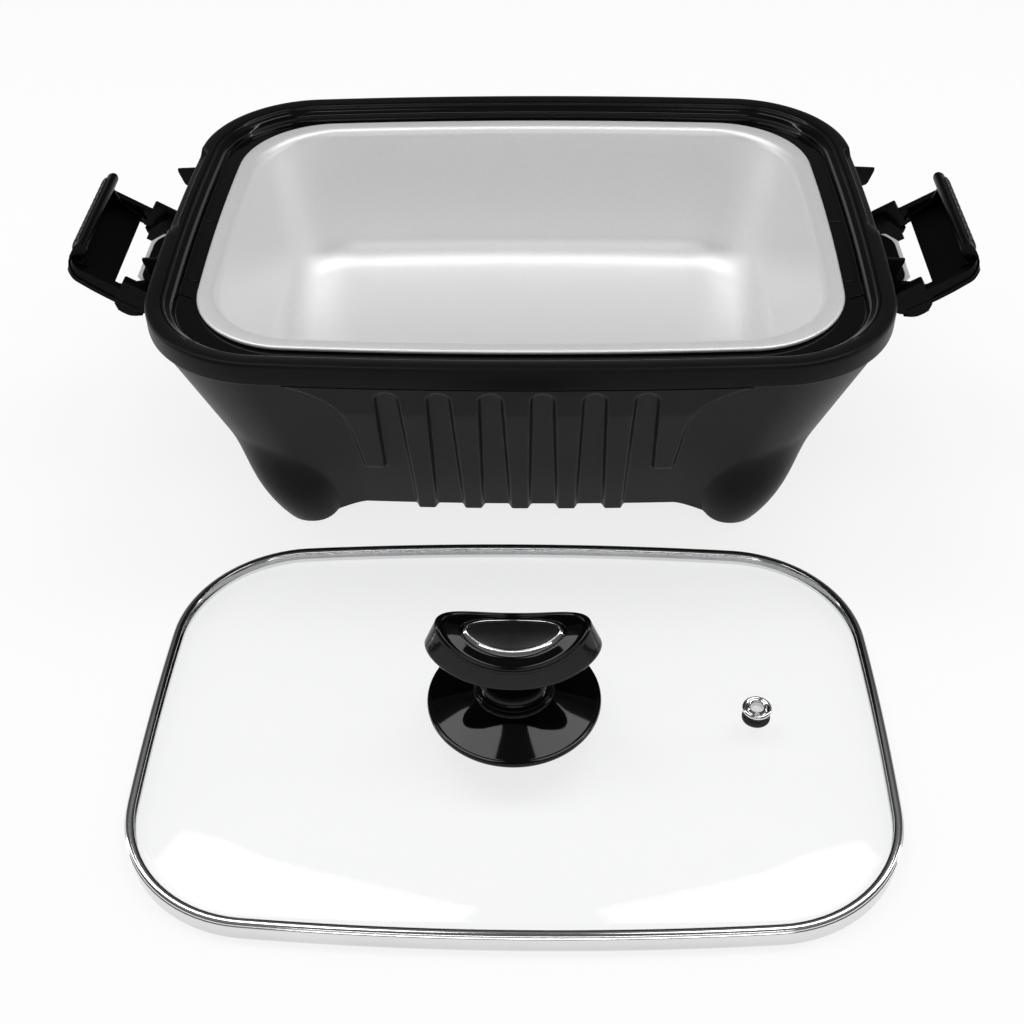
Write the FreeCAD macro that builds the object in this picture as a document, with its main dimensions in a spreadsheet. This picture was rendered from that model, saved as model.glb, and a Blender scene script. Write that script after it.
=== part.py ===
import FreeCAD, Part
import Sketcher
import math
import os

os.makedirs("parts", exist_ok=True)
doc = FreeCAD.newDocument("HotPot")
V = FreeCAD.Vector

# Driving dimensions in millimetres, with angles in degrees
dims = {
    # centre lines of the pot and of the lid that lies in front of it
    "pot_y": 110.4, "lid_y": -135,
    # tapered housing
    "rim_half_w": 190, "rim_half_d": 144, "rim_corner": 66, "rim_top": 135.5,
    "band_low": 123.5, "band_step": 2, "face_w": 8,
    "base_half_w": 148, "base_half_d": 101, "base_corner": 46, "base_low": 16,
    "wall": 2.8, "side_arc": 2000, "end_arc": 1600,
    "shelf_low": 118, "shelf_thick": 3.2,
    # raised apron of the front wall
    "apron_out": 2.2, "apron_low": 13.5, "apron_high": 123.4,
    "bar_pitch": 25, "slot_w": 11.4, "tab_low": 54,
    # feet
    "foot_x": 113.5, "foot_y": 90, "foot_low": 3, "foot_waist": 16, "foot_high": 47,
    "foot_r_low": 13, "foot_r_mid": 17.5, "foot_r_high": 19.5, "pad_r": 8, "plug_r": 3.9,
    "screw_r": 2, "screw_head_r": 3.5,
    # seat ring inside the rim
    "seat_half_w": 175.5, "seat_half_d": 127.5, "seat_z": 127.6,
    "ring_gap": 0.15, "ring_low": 121.2, "ring_skin": 2.4,
    "hole_half_w": 161.5, "hole_half_d": 116.5,
    # removable inner pot
    "pan_half_w": 166, "pan_half_d": 121, "pan_top": 130.1, "pan_lip": 2.2,
    "pan_low": 49.3, "pan_wall": 2.2,
    # heater
    "plate_half_w": 115, "plate_half_d": 72, "plate_low": 43, "plate_thick": 6,
    "tube_r": 4, "tube_x": 14, "loop_x": 96, "loop_front": -48, "loop_back": 42,
    "tube_end": 104, "shield_z": 32, "post_x": 68, "post_y": 12,
    # inlet
    "inlet_half_w": 40, "inlet_low": 21, "inlet_high": 65, "inlet_front": 100,
    "inlet_back": 121, "socket_half_w": 27, "socket_low": 30, "socket_high": 56,
    "pin_r": 2.5, "pin_end": 116,
    # side handles
    "hinge_x": 203, "hinge_z": 107, "tilt": 31, "arm_out": 43, "arm_in": 37.6,
    "ear_in": 31, "ear_out": 37.3, "hinge_r": 2.5, "hinge_play": 0.05,
    "grip_far": 42.4, "grip_near": 36, "grip_top": 11.6, "arm_low": -7.5,
    "arm_top": 1.6, "block_top": 7.3, "panel_near": 16, "bend_r": 9,
    "tall_front": -34.5, "tall_back": 42.6, "insert_front": -29.7, "insert_back": 39,
    # lid
    "lid_half_w": 173.4, "lid_half_d": 119.4, "lid_corner": 65,
    "lid_arc": 1500, "band_height": 10.2, "steel": 0.9, "glass_low": 5.6,
    "glass_thick": 4, "glass_rise": 5.2,
    # knob and vent
    "disc_r": 40.5, "disc_low": 20.4, "collar_r": 18.5, "neck_r": 15, "saddle_low": 48.6,
    "saddle_high": 65, "saddle_rise": 10.8, "saddle_crown": 9, "inlay_half_w": 20.6,
    "inlay_half_d": 9.2, "vent_x": 113.5, "vent_y": 1.5,
}

sheet = doc.addObject("Spreadsheet::Sheet", "Dims")
for row, (alias, value) in enumerate(dims.items(), start=1):
    sheet.set("A%d" % row, alias)
    sheet.set("B%d" % row, str(value))
    sheet.setAlias("B%d" % row, alias)
doc.recompute()


def size(alias):
    return float(sheet.get(alias))


subParts = []
# Signs of x and y at the four corners of the pot
cornerSigns = ((1, 1), (-1, 1), (-1, -1), (1, -1))
# Pieces are drawn from the centre line of the group that they belong to
group = {"centre": "pot_y"}


def shift():
    return size(group["centre"]) if group["centre"] else 0.0


def publish(obj, label):
    obj.Label = label
    subParts.append(obj)
    return obj


def bind(obj, prop, rule):
    if isinstance(rule, (int, float)):
        rule = repr(float(rule))
    for alias in sorted(dims, key=len, reverse=True):
        rule = rule.replace("#" + alias + ";", "Dims." + alias)
    obj.setExpression(prop, rule)


def place(obj, x=0, y=0, z=0, turn=None):
    if turn is not None:
        obj.Placement = FreeCAD.Placement(V(), turn)
    bind(obj, "Placement.Base.x", x)
    bind(obj, "Placement.Base.y", "%s + #%s;" % (y, group["centre"]) if group["centre"] else y)
    bind(obj, "Placement.Base.z", z)
    return obj


# Primitive blocks, with the block's centre line on the given x and y
def block(name, length, width, height, x=0, y=0, z=0):
    obj = doc.addObject("Part::Box", name)
    bind(obj, "Length", length)
    bind(obj, "Width", width)
    bind(obj, "Height", height)
    return place(obj, "(%s) - (%s) / 2" % (x, length), "(%s) - (%s) / 2" % (y, width), z)


axes = {
    "z": FreeCAD.Rotation(),
    "x": FreeCAD.Rotation(V(0, 1, 0), 90),
    "y": FreeCAD.Rotation(V(1, 0, 0), -90),
}


def rod(name, radius, length, x=0, y=0, z=0, along="z"):
    obj = doc.addObject("Part::Cylinder", name)
    bind(obj, "Radius", radius)
    bind(obj, "Height", length)
    return place(obj, x, y, z, axes[along])


def cone(name, low, high, height, x=0, y=0, z=0):
    obj = doc.addObject("Part::Cone", name)
    bind(obj, "Radius1", low)
    bind(obj, "Radius2", high)
    bind(obj, "Height", height)
    return place(obj, x, y, z)


def fuse(name, *pieces):
    obj = doc.addObject("Part::MultiFuse", name)
    obj.Shapes = list(pieces)
    obj.Refine = True
    return obj


def cut(name, base, *tools):
    tool = tools[0] if len(tools) == 1 else fuse(name + "Tools", *tools)
    obj = doc.addObject("Part::Cut", name)
    obj.Base = base
    obj.Tool = tool
    return obj


def common(name, one, other):
    obj = doc.addObject("Part::Common", name)
    obj.Base = one
    obj.Tool = other
    return obj


# Barrel outline: four gently bulged sides joined by tangent corner arcs
def barrel(a, b, corner, longArc, shortArc, z):
    one = V(0, b - longArc)
    two = V(a - shortArc, 0)
    reachOne = longArc - corner
    reachTwo = shortArc - corner
    apart = two.sub(one)
    span = apart.Length
    along = (reachOne ** 2 - reachTwo ** 2 + span ** 2) / (2 * span)
    off = math.sqrt(reachOne ** 2 - along ** 2)
    unit = V(apart).normalize()
    side = V(unit.y, -unit.x)
    centre = one + unit * along + side * off
    upper = centre + (centre - one).normalize() * corner
    right = centre + (centre - two).normalize() * corner
    middle = centre + ((upper + right) * 0.5 - centre).normalize() * corner

    def at(point, sx, sy):
        return V(sx * point.x, shift() + sy * point.y, z)

    top = V(0, b)
    end = V(a, 0)
    edges = []
    for sx, sy in cornerSigns:
        corner3 = [at(right, sx, sy), at(middle, sx, sy), at(upper, sx, sy)]
        if sx * sy < 0:
            corner3.reverse()
        edges.append(Part.Arc(*corner3).toShape())
        far = at(upper, sx, sy) if sx * sy > 0 else at(right, sx, sy)
        if sx * sy > 0:
            edges.append(Part.Arc(far, at(top, 1, sy), at(upper, -sx, sy)).toShape())
        else:
            edges.append(Part.Arc(far, at(end, sx, 1), at(right, sx, -sy)).toShape())
    return Part.Wire(edges)


def outline(name, a, b, corner, z):
    obj = doc.addObject("Part::Feature", name)
    lid = group["centre"] == "lid_y"
    longArc = size("lid_arc" if lid else "side_arc")
    shortArc = size("lid_arc" if lid else "end_arc")
    obj.Shape = barrel(a, b, corner, longArc, shortArc, z)
    return obj


def loft(name, rows, ruled=True):
    sections = [outline("%sLine%d" % (name, i), *row) for i, row in enumerate(rows)]
    obj = doc.addObject("Part::Loft", name)
    obj.Sections = sections
    obj.Solid = True
    obj.Ruled = ruled
    return obj


# Straight-walled barrel, from z low to z high
def drum(name, a, b, corner, low, high):
    return loft(name, [(a, b, corner, low), (a, b, corner, high)])


# Prism of a flat outline given in the XZ plane, thick along Y
def slab(name, points, yLow, yHigh):
    loop = [V(px, yLow + shift(), pz) for px, pz in points + points[:1]]
    face = Part.Face(Part.makePolygon(loop))
    obj = doc.addObject("Part::Feature", name)
    obj.Shape = face.extrude(V(0, yHigh - yLow, 0))
    return obj


# Turned piece: a profile of radius and height pairs revolved about Z
def turned(label, profile, x=0, y=0, z=0):
    body = doc.addObject("PartDesign::Body", label + "Body")
    sketch = body.newObject("Sketcher::SketchObject", label + "Profile")
    plane = [f for f in body.Origin.OriginFeatures if f.Role == "XZ_Plane"][0]
    sketch.AttachmentSupport = [(plane, "")]
    sketch.MapMode = "FlatFace"
    values = [(evaluate(r), evaluate(h)) for r, h in profile]
    count = len(profile)
    for i in range(count):
        start = V(*values[i], 0)
        stop = V(*values[(i + 1) % count], 0)
        sketch.addGeometry(Part.LineSegment(start, stop), False)
    for i in range(count):
        sketch.addConstraint(Sketcher.Constraint("Coincident", i, 2, (i + 1) % count, 1))
    for i, (radius, height) in enumerate(profile):
        if values[i][0] == 0:
            sketch.addConstraint(Sketcher.Constraint("PointOnObject", i, 1, -2))
        else:
            index = sketch.addConstraint(
                Sketcher.Constraint("DistanceX", -1, 1, i, 1, values[i][0]))
            bind(sketch, "Constraints[%d]" % index, radius)
        if values[i][1] == 0:
            sketch.addConstraint(Sketcher.Constraint("PointOnObject", i, 1, -1))
        else:
            index = sketch.addConstraint(
                Sketcher.Constraint("DistanceY", -1, 1, i, 1, values[i][1]))
            bind(sketch, "Constraints[%d]" % index, height)
    turn = body.newObject("PartDesign::Revolution", label + "Turn")
    turn.Profile = sketch
    turn.ReferenceAxis = (sketch, ["V_Axis"])
    turn.Angle = 360
    place(body, x, y, z)
    return body


def evaluate(rule):
    if isinstance(rule, (int, float)):
        return float(rule)
    for alias in sorted(dims, key=len, reverse=True):
        rule = rule.replace("#" + alias + ";", repr(size(alias)))
    total = 0.0
    for term in rule.replace("- ", "+ -").split("+"):
        total += float(term.strip().replace("--", ""))
    return total


# Outer housing
rimW, rimD, rimR = size("rim_half_w"), size("rim_half_d"), size("rim_corner")
baseW, baseD, baseR = size("base_half_w"), size("base_half_d"), size("base_corner")
bandLow, rimTop, baseLow = size("band_low"), size("rim_top"), size("base_low")
wall, step, faceW = size("wall"), size("band_step"), size("face_w")
wallRows = [
    (baseW, baseD, baseR, baseLow),
    (rimW - step, rimD - step, rimR - step, bandLow),
]


def wallLoft(name, grow, low=baseLow, high=bandLow):
    rows = []
    for z in (low, high):
        share = (z - baseLow) / (bandLow - baseLow)
        row = [p + (q - p) * share + grow for p, q in zip(wallRows[0][:3], wallRows[1][:3])]
        rows.append((*row, z))
    return loft(name, rows)


shellOuter = wallLoft("ShellOuter", 0)
band = loft("RimBand", [
    (rimW - 0.6, rimD - 0.6, rimR - 0.6, bandLow),
    (rimW, rimD, rimR, bandLow + 1.5),
    (rimW, rimD, rimR, rimTop - 1.6),
    (rimW - 1.4, rimD - 1.4, rimR - 1.4, rimTop),
])
feet = []
bores = []
for i, (sx, sy) in enumerate(cornerSigns):
    where = dict(x="%d * #foot_x;" % sx, y="%d * #foot_y;" % sy)
    feet.append(cone("FootTip%d" % i, "#foot_r_low;", "#foot_r_mid;",
                     "#foot_waist; - #foot_low;", z="#foot_low;", **where))
    feet.append(cone("FootBulge%d" % i, "#foot_r_mid;", "#foot_r_high;",
                     "#foot_high; - #foot_waist;", z="#foot_waist;", **where))
    bores.append(rod("FootBore%d" % i, "#plug_r; + 0.1", 9, z="#foot_low;", **where))
    bores.append(rod("FootHole%d" % i, "#screw_r; + 0.2", 20, z="#foot_low;", **where))

apronHalf = size("bar_pitch") * 3 + 0.5
apronLine = [(106, 123.4), (99, 120), (92, 113.5), (87, 106), (83.5, 97), (81.5, 88),
             (80, 76), (78, 64), (apronHalf, size("tab_low"))]
apronPoints = apronLine + [(-x, z) for x, z in reversed(apronLine)]
apronBody = wallLoft("ApronBody", size("apron_out"), size("apron_low"), size("apron_high"))
apronArea = fuse(
    "ApronArea",
    slab("ApronCurtain", apronPoints, -170, -60),
    block("BarField", "5 * #bar_pitch; - 14", 90, 60, y=-125, z="#apron_low;"))
apron = common("ApronSkin", apronBody, apronArea)
slots = []
for i in range(6):
    centre = (i - 2.5) * size("bar_pitch")
    slots.append(block("Slot%d" % i, "#slot_w;", 90, 110, x=centre, y=-125, z=6))
    slots.append(rod("SlotArch%d" % i, "#slot_w; / 2", 90, x=centre, y=-170, z=116, along="y"))
for sx in (-1, 1):
    slots.append(block("TabEnd%d" % sx, 30, 90, 50, x=sx * (apronHalf - 4), y=-125, z=3))

fins = []
for i, (sx, y) in enumerate(((sx, y) for sx in (-1, 1) for y in (80, -20))):
    fin = [(sx * 178.3, 104), (sx * 182, 104), (sx * 188.6, 108.6), (sx * 205, 118.4),
           (sx * 205, 120), (sx * 187.5, 122.6), (sx * 187.5, 123.4), (sx * 184.9, 123.4)]
    fins.append(slab("Fin%d" % i, fin, y - 1, y + 1))

hollow = loft("Hollow", [
    (baseW - wall, baseD - wall, baseR - wall, baseLow),
    (rimW - step - wall, rimD - step - wall, rimR - step - wall, bandLow),
])
bars = cut("ApronBars", apron, hollow, *slots)
mouth = drum("Mouth", rimW - faceW, rimD - faceW, rimR - faceW, bandLow - 0.5, rimTop + 1)
shelfLow = size("shelf_low")
shelfOuter = drum("ShelfOuter", 184.6, 138.6, 61, shelfLow, shelfLow + size("shelf_thick"))
shelfInner = drum("ShelfInner", 174, 126, 52, 110, 130)
shelf = cut("Shelf", shelfOuter, shelfInner)
inletHole = block("InletHole", "2 * #inlet_half_w; + 0.4", 60, "#inlet_high; - #inlet_low; + 0.4",
                  y=110, z="#inlet_low; - 0.2")
bracketHoles = []
for i, (sx, y) in enumerate(((sx, y) for sx in (-1, 1) for y in (-24, 24))):
    bracketHoles.append(rod("WallHole%d" % i, "#screw_r; + 0.1", 40, x="%d * 190 - 20" % sx,
                            y=y, z=103, along="x"))
solidShell = fuse("SolidShell", shellOuter, band, *feet)
hollowShell = cut("HollowShell", solidShell, hollow, mouth)
trimmedShelf = common("ShelfTrim", shelf, solidShell)
housing = cut("Housing", fuse("HousingBlank", hollowShell, bars, trimmedShelf, *fins),
              inletHole, *bores, *bracketHoles)
publish(housing, "outer_housing")

# Seat ring: groove wall, lid ledge and the opening for the pot
gap = size("ring_gap")
seatW, seatD, seatZ = size("seat_half_w"), size("seat_half_d"), size("seat_z")
ringBlank = drum("RingBlank", rimW - faceW - gap, rimD - faceW - gap, rimR - faceW - gap,
                 size("ring_low"), rimTop - 0.5)
groove = loft("Groove", [
    (seatW, seatD, 55, seatZ),
    (seatW + 1.2, seatD + 1.6, 56, seatZ + 5),
    (rimW - faceW - 1.4, rimD - faceW - 1.4, rimR - faceW - 1.4, rimTop),
])
ringHole = drum("RingHole", size("hole_half_w"), size("hole_half_d"), 50, 110, 140)
ringUnder = drum("RingUnder", 179, 132.6, 56, 110, seatZ - size("ring_skin"))
publish(cut("SeatRing", ringBlank, groove, ringHole, ringUnder), "rim_ring")

# Removable inner pot with a rolled mouth
panW, panD = size("pan_half_w"), size("pan_half_d")
panTop, panLow, panWall = size("pan_top"), size("pan_low"), size("pan_wall")
lip = size("pan_lip")


def potRows(inset, lift):
    return [
        (131 - inset, 84 - inset, 34 - inset, panLow + lift),
        (137 - inset, 90 - inset, 40 - inset, panLow + 1.6 + lift),
        (143 - inset, 96 - inset, 46 - inset, panLow + 7 + lift),
        (145.6 - inset, 98.8 - inset, 48 - inset, panLow + 15 + lift),
        (158.6 - inset, 113 - inset, 50 - inset, panTop - lip),
    ]


potOuter = loft("PotOuter", potRows(0, 0))
potFlange = drum("PotFlange", panW, panD, 53, panTop - lip, panTop)
potMouth = loft("PotMouth", [
    (156.4, 110.8, 47.8, panTop - lip),
    (159.4, 113.8, 50, panTop + 0.1),
])
potInner = loft("PotInner", potRows(panWall, panWall))
publish(cut("InnerPot", fuse("PotBlank", potOuter, potFlange), potInner, potMouth), "inner_pot")

# Base cover that closes the housing from inside the foot line
coverBlank = drum("CoverBlank", 144.6, 97.6, 42.6, baseLow, baseLow + 2.6)
coverBosses = []
coverHoles = []
for i, (sx, sy) in enumerate(cornerSigns):
    where = dict(x="%d * #foot_x;" % sx, y="%d * #foot_y;" % sy)
    coverBosses.append(rod("CoverBoss%d" % i, 4.6, 12, z="#base_low;", **where))
    coverHoles.append(rod("CoverHole%d" % i, "#screw_r;", 10, z="#base_low; - 1", **where))
ventSlots = [block("CoverVent%d" % i, 70, 4, 10, x=(i % 2) * 100 - 50, y=(i // 2) * 14 - 42,
                   z=12) for i in range(8)]
cover = common("CoverTrim", fuse("CoverSolid", coverBlank, *coverBosses), hollow)
publish(cut("BaseCover", cover, *coverHoles, *ventSlots), "base_cover")

# Rubber feet and the screws above them
for i, (sx, sy) in enumerate(cornerSigns, start=1):
    where = dict(x="%d * #foot_x;" % sx, y="%d * #foot_y;" % sy)
    pad = turned("FootPad%d" % i, [
        (0, 0), ("#pad_r; - 0.8", 0), ("#pad_r;", 0.8), ("#pad_r;", "#foot_low;"),
        ("#plug_r;", "#foot_low;"), ("#plug_r;", 8), (0, 8)], **where)
    publish(pad, "foot_pad_%d" % i)
    screw = turned("BaseScrew%d" % i, [
        (0, 0), ("#screw_head_r;", 0), ("#screw_head_r;", 2.4), ("#screw_r;", 2.4),
        ("#screw_r;", 14.4), (0, 14.4)], z=9.6, **where)
    publish(screw, "base_screw_%d" % i)

# Heater: tubular element half sunk in the underside of a cast plate
tubeZ = size("plate_low")
tubeLine = [(-size("tube_x"), size("tube_end")), (-size("tube_x"), size("loop_back")),
           (-size("loop_x"), size("loop_back")), (-size("loop_x"), size("loop_front")),
           (size("loop_x"), size("loop_front")), (size("loop_x"), size("loop_back")),
           (size("tube_x"), size("loop_back")), (size("tube_x"), size("tube_end"))]


def roundedPath(points, bend, z):
    points = [(px, py + shift()) for px, py in points]
    edges = []
    last = V(*points[0], z)
    for i in range(1, len(points) - 1):
        here = V(*points[i], z)
        back = (V(*points[i - 1], z) - here).normalize()
        ahead = (V(*points[i + 1], z) - here).normalize()
        start = here + back * bend
        stop = here + ahead * bend
        centre = here + (back + ahead) * bend
        middle = centre + (here - centre).normalize() * bend
        edges.append(Part.LineSegment(last, start).toShape())
        edges.append(Part.Arc(start, middle, stop).toShape())
        last = stop
    edges.append(Part.LineSegment(last, V(*points[-1], z)).toShape())
    return Part.Wire(edges)


spine = doc.addObject("Part::Feature", "ElementPath")
spine.Shape = roundedPath(tubeLine, 14, tubeZ)
ring = doc.addObject("Part::Circle", "ElementSection")
bind(ring, "Radius", "#tube_r;")
place(ring, "0 - #tube_x;", "#tube_end;", "#plate_low;", axes["y"])
element = doc.addObject("Part::Sweep", "Element")
element.Sections = [ring]
element.Spine = (spine, [])
element.Solid = True
publish(element, "heating_element")

plateBlank = drum("PlateBlank", size("plate_half_w"), size("plate_half_d"), 24, tubeZ,
                  tubeZ + size("plate_thick"))
publish(cut("HeatingPlate", plateBlank, element), "heating_plate")

shieldPlate = drum("ShieldPlate", 124, 80, 24, size("shield_z"), size("shield_z") + 0.8)
shieldHoles = []
for i, (sx, sy) in enumerate(cornerSigns):
    shieldHoles.append(rod("ShieldHole%d" % i, 3.05, 6, x="%d * #post_x;" % sx,
                           y="%d * #post_y;" % sy, z="#shield_z; - 2"))
publish(cut("HeatShield", shieldPlate, *shieldHoles), "heat_shield")
for i, (sx, sy) in enumerate(cornerSigns, start=1):
    post = turned("PlatePost%d" % i, [
        (0, 0), (5, 0), (5, "#shield_z; - 18.6"), (3, "#shield_z; - 18.6"),
        (3, "#plate_low; - 18.6"), (0, "#plate_low; - 18.6")],
        x="%d * #post_x;" % sx, y="%d * #post_y;" % sy, z=18.6)
    publish(post, "plate_post_%d" % i)

# Inlet with two round pins and a probe sleeve in the back wall
shroud = block("ShroudBlank", "2 * #inlet_half_w;", "#inlet_back; - #inlet_front;",
               "#inlet_high; - #inlet_low;", y="(#inlet_back; + #inlet_front;) / 2",
               z="#inlet_low;")
recess = block("ShroudRecess", "2 * #socket_half_w;", 30, "#socket_high; - #socket_low;",
               y="#inlet_front; + 4 + 15", z="#socket_low;")
shroudHoles = [rod("ShroudHole%d" % sx, "#tube_r;", 20, x="%d * #tube_x;" % sx, y=95,
                   z="#plate_low;", along="y") for sx in (-1, 1)]
shroudHoles.append(rod("SleeveHole", 5, 20, y=95, z="#plate_low;", along="y"))
publish(cut("InletShroud", shroud, recess, *shroudHoles), "inlet_shroud")
for sx, side in ((-1, "left"), (1, "right")):
    pin = rod("InletPin" + side, "#pin_r;", "#pin_end; - #tube_end;", x="%d * #tube_x;" % sx,
              y="#tube_end;", z="#plate_low;", along="y")
    publish(pin, "inlet_pin_" + side)
sleeve = cut("ProbeSleeve",
             rod("SleeveOuter", 5, 34, y=72.5, z="#plate_low;", along="y"),
             rod("SleeveBore", 4.2, 33, y=74.5, z="#plate_low;", along="y"))
publish(sleeve, "probe_sleeve")


# Side handles, drawn about their hinge line with the grip on the +X side
def sideParts(side, sign):
    turnUp = FreeCAD.Rotation(V(0, 1, 0), -size("tilt"))
    turnRound = FreeCAD.Rotation(V(0, 0, 1), 0 if sign > 0 else 180)
    pose = FreeCAD.Placement(V(sign * size("hinge_x"), shift(), size("hinge_z")),
                             turnRound * turnUp)
    group["centre"] = None
    armOut, armIn = size("arm_out"), size("arm_in")
    armLow, armTop, blockTop = size("arm_low"), size("arm_top"), size("block_top")
    far, near, top = size("grip_far"), size("grip_near"), size("grip_top")

    # Range along the hinge line, from the front of the pot to its back
    def along(front, back, grow=0.0):
        return sorted((sign * (size(front) - grow), sign * (size(back) + grow)))

    pieces = []
    for sy in (-1, 1):
        low, high = sorted((sy * armIn, sy * armOut))
        profile = [(0, armLow), (12, armLow), (26, armLow + 0.8), (36, -5.4),
                   (far - 1.5, -2.5), (far, 1.0), (far, armTop), (12.8, armTop),
                   (12.8, blockTop), (-1.5, blockTop), (-4.4, 5.9), (-6.7, 3), (-7.4, 0),
                   (-6.5, -3.7), (-3.7, -6.5)]
        pieces.append(slab("%sArm%d" % (side, sy), profile, low, high))
        rib = [(13, -3.8), (36.2, -3.8), (36.2, 5.5), (30, 0.6), (20, -1.8)]
        low, high = sorted((sy * (armIn - 1.6), sy * (armIn + 0.2)))
        pieces.append(slab("%sRib%d" % (side, sy), rib, low, high))
    # The low wall joins the arms; the tall wall stops short of the front corner
    lowLine = [(near + 1.2, -5.6), (far - 1.4, -2.6), (far, 1.0), (far, armTop), (near, armTop),
               (near, -5.6)]
    tallLine = [(near, 0), (far, 0), (far, 1.2), (far - 0.2, top - 2.4), (far - 1.6, top - 0.4),
                (far - 3, top), (near + 1.6, top), (near + 0.4, top - 1.2), (near, top - 3)]
    pieces.append(slab(side + "LowWall", lowLine, -armOut, armOut))
    pieces.append(slab(side + "TallWall", tallLine, *along("tall_front", "tall_back")))
    panel = [(size("panel_near"), -5.9), (size("panel_near"), -3.8), (near + 1, -3.8),
             (near + 1.6, -5.9)]
    pieces.append(slab(side + "Panel", panel, -armIn - 0.5, armIn + 0.5))
    pocketLine = [(far - 1.4, 0.6), (far + 3, 0.6), (far + 3, top - 1.4), (far - 1.4, top - 1.4)]
    pocket = slab(side + "GripPocket", pocketLine, *along("insert_front", "insert_back", 0.3))
    bend = size("bend_r")
    cornerX, cornerY = far - bend, -sign * (armOut - bend)
    bendBlock = block(side + "BendBlock", bend + 2, bend + 2, 40, x=cornerX + bend / 2 + 1,
                      y=cornerY - sign * (bend / 2 + 1), z=-20)
    bendRound = rod(side + "BendRound", bend, 40, x=cornerX, y=cornerY, z=-20)
    bendTool = cut(side + "BendTool", bendBlock, bendRound)
    blank = fuse(side + "FrameBlank", *pieces)
    bore = rod(side + "FrameBore", "#hinge_r;", 110, y=-55, along="y")
    frame = cut(side + "HandleFrame", blank, pocket, bore, bendTool)
    frame.Placement = pose
    publish(frame, side + "_handle_frame")

    insertLine = [(far - 1.4, 0.9), (far + 0.5, 0.9), (far + 1.7, 2.2), (far + 1.7, top - 3.2),
                  (far + 0.6, top - 1.7), (far - 1.4, top - 1.7)]
    insert = slab(side + "InsertBlank", insertLine, *along("insert_front", "insert_back"))
    ridges = []
    for i in range(15):
        groove = doc.addObject("Part::Box", "%sGroove%d" % (side, i))
        groove.Length = 2
        groove.Width = 1.5
        groove.Height = 30
        groove.Placement = FreeCAD.Placement(
            V(far + 1.0, -46 + i * 6.2, -6), FreeCAD.Rotation(V(1, 0, 0), -24))
        ridges.append(groove)
    ridged = cut(side + "Insert", insert, *ridges)
    ridged.Placement = pose
    publish(ridged, side + "_grip_insert")
    group["centre"] = "pot_y"

    for sy, word in ((-1, "front"), (1, "back")):
        yLow = size("ear_in") if sy > 0 else -armOut + 0.2
        length = armOut - 0.2 - size("ear_in")
        pin = rod("%sPin%s" % (side, word), "#hinge_r;", length, x="%d * #hinge_x;" % sign,
                  y=yLow, z="#hinge_z;", along="y")
        publish(pin, "%s_hinge_pin_%s" % (side, word))

    group["centre"] = None
    lugs = []
    for sy in (-1, 1):
        low, high = sorted((sy * size("ear_in"), sy * size("ear_out")))
        web = [(-6, -7), (2, -7.6), (2, -11.6), (9, -11.6), (9, -5), (6, 3.2), (2, 6.2),
               (-3, 6.2), (-14, 2), (-16, -4)]
        lugs.append(slab("%sEar%d" % (side, sy), web, low, high))
        low, high = sorted((sy * size("ear_in"), sy * (armOut - 0.6)))
        foot = [(2, -11.6), (9, -11.6), (9, -7.9), (2, -7.9)]
        lugs.append(slab("%sStop%d" % (side, sy), foot, low, high))
    for lug in lugs:
        lug.Placement = pose
    group["centre"] = "pot_y"
    baseLine = [(sign * 176, 94), (sign * 186, 94), (sign * 194, 100), (sign * 194, 108),
                (sign * 190.5, 116), (sign * 186, 118), (sign * 176, 118)]
    low, high = -size("ear_out"), size("ear_out")
    base = slab(side + "BracketBase", baseLine, low, high)
    blank = fuse(side + "BracketBlank", base, *lugs)
    earBore = rod(side + "EarBore", "#hinge_r; + #hinge_play;", 90,
                  x="%d * #hinge_x;" % sign, y=-45, z="#hinge_z;", along="y")
    screwWays = []
    for sy in (-1, 1):
        screwWays.append(rod("%sWay%d" % (side, sy), "#screw_r;", 40,
                             x="%d * 190 - 20" % sign, y=sy * 24, z=103, along="x"))
    tongue = doc.addObject("Part::Feature", side + "StopPlate")
    line = [(189, -26), (204.5, -26), (210, -18.5), (210, 18.5), (204.5, 26), (189, 26)]
    lineUp = [V(sign * px, py + shift(), 107) for px, py in line + line[:1]]
    tongue.Shape = Part.Face(Part.makePolygon(lineUp)).extrude(V(0, 0, 0.8))
    publish(tongue, side + "_stop_plate")
    bracket = cut(side + "Bracket", blank, shellOuter, earBore, tongue, *screwWays, *fins)
    publish(bracket, side + "_handle_bracket")

    for sy, word in ((-1, "front"), (1, "back")):
        screw = turned("%sBracketScrew%s" % (side, word), [
            (0, 0), (1.9, 0), (2, 0.3), (2, 22), ("#screw_head_r;", 22),
            ("#screw_head_r;", 24), (0, 24)])
        turn = FreeCAD.Rotation(V(0, 1, 0), 90 * sign)
        place(screw, sign * 172, sy * 24, 103, turn)
        publish(screw, "%s_bracket_screw_%s" % (side, word))


sideParts("left", -1)
sideParts("right", 1)

# Lid, lying face up in front of the pot
group["centre"] = "lid_y"
lidW, lidD = size("lid_half_w"), size("lid_half_d")
lidR, steel = size("lid_corner"), size("steel")
glassLow, glassThick = size("glass_low"), size("glass_thick")


def lidDrum(name, inset, low, high):
    return drum(name, lidW - inset, lidD - inset, lidR - inset, low, high)


bandTop = size("band_height")
glassEdge = bandTop - steel
rimBand = cut(
    "LidBand", lidDrum("BandBlank", 0, 0, bandTop),
    lidDrum("BandSkirt", steel, -1, glassLow - 1.2 - steel),
    lidDrum("BandUnder", 5.4, -1, glassLow),
    lidDrum("BandGlassWay", steel, glassLow - 1.2, glassEdge + 0.07),
    lidDrum("BandMouth", 5.4, glassLow, bandTop + 1))
publish(rimBand, "lid_rim_band")

rise = size("glass_rise")


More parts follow.
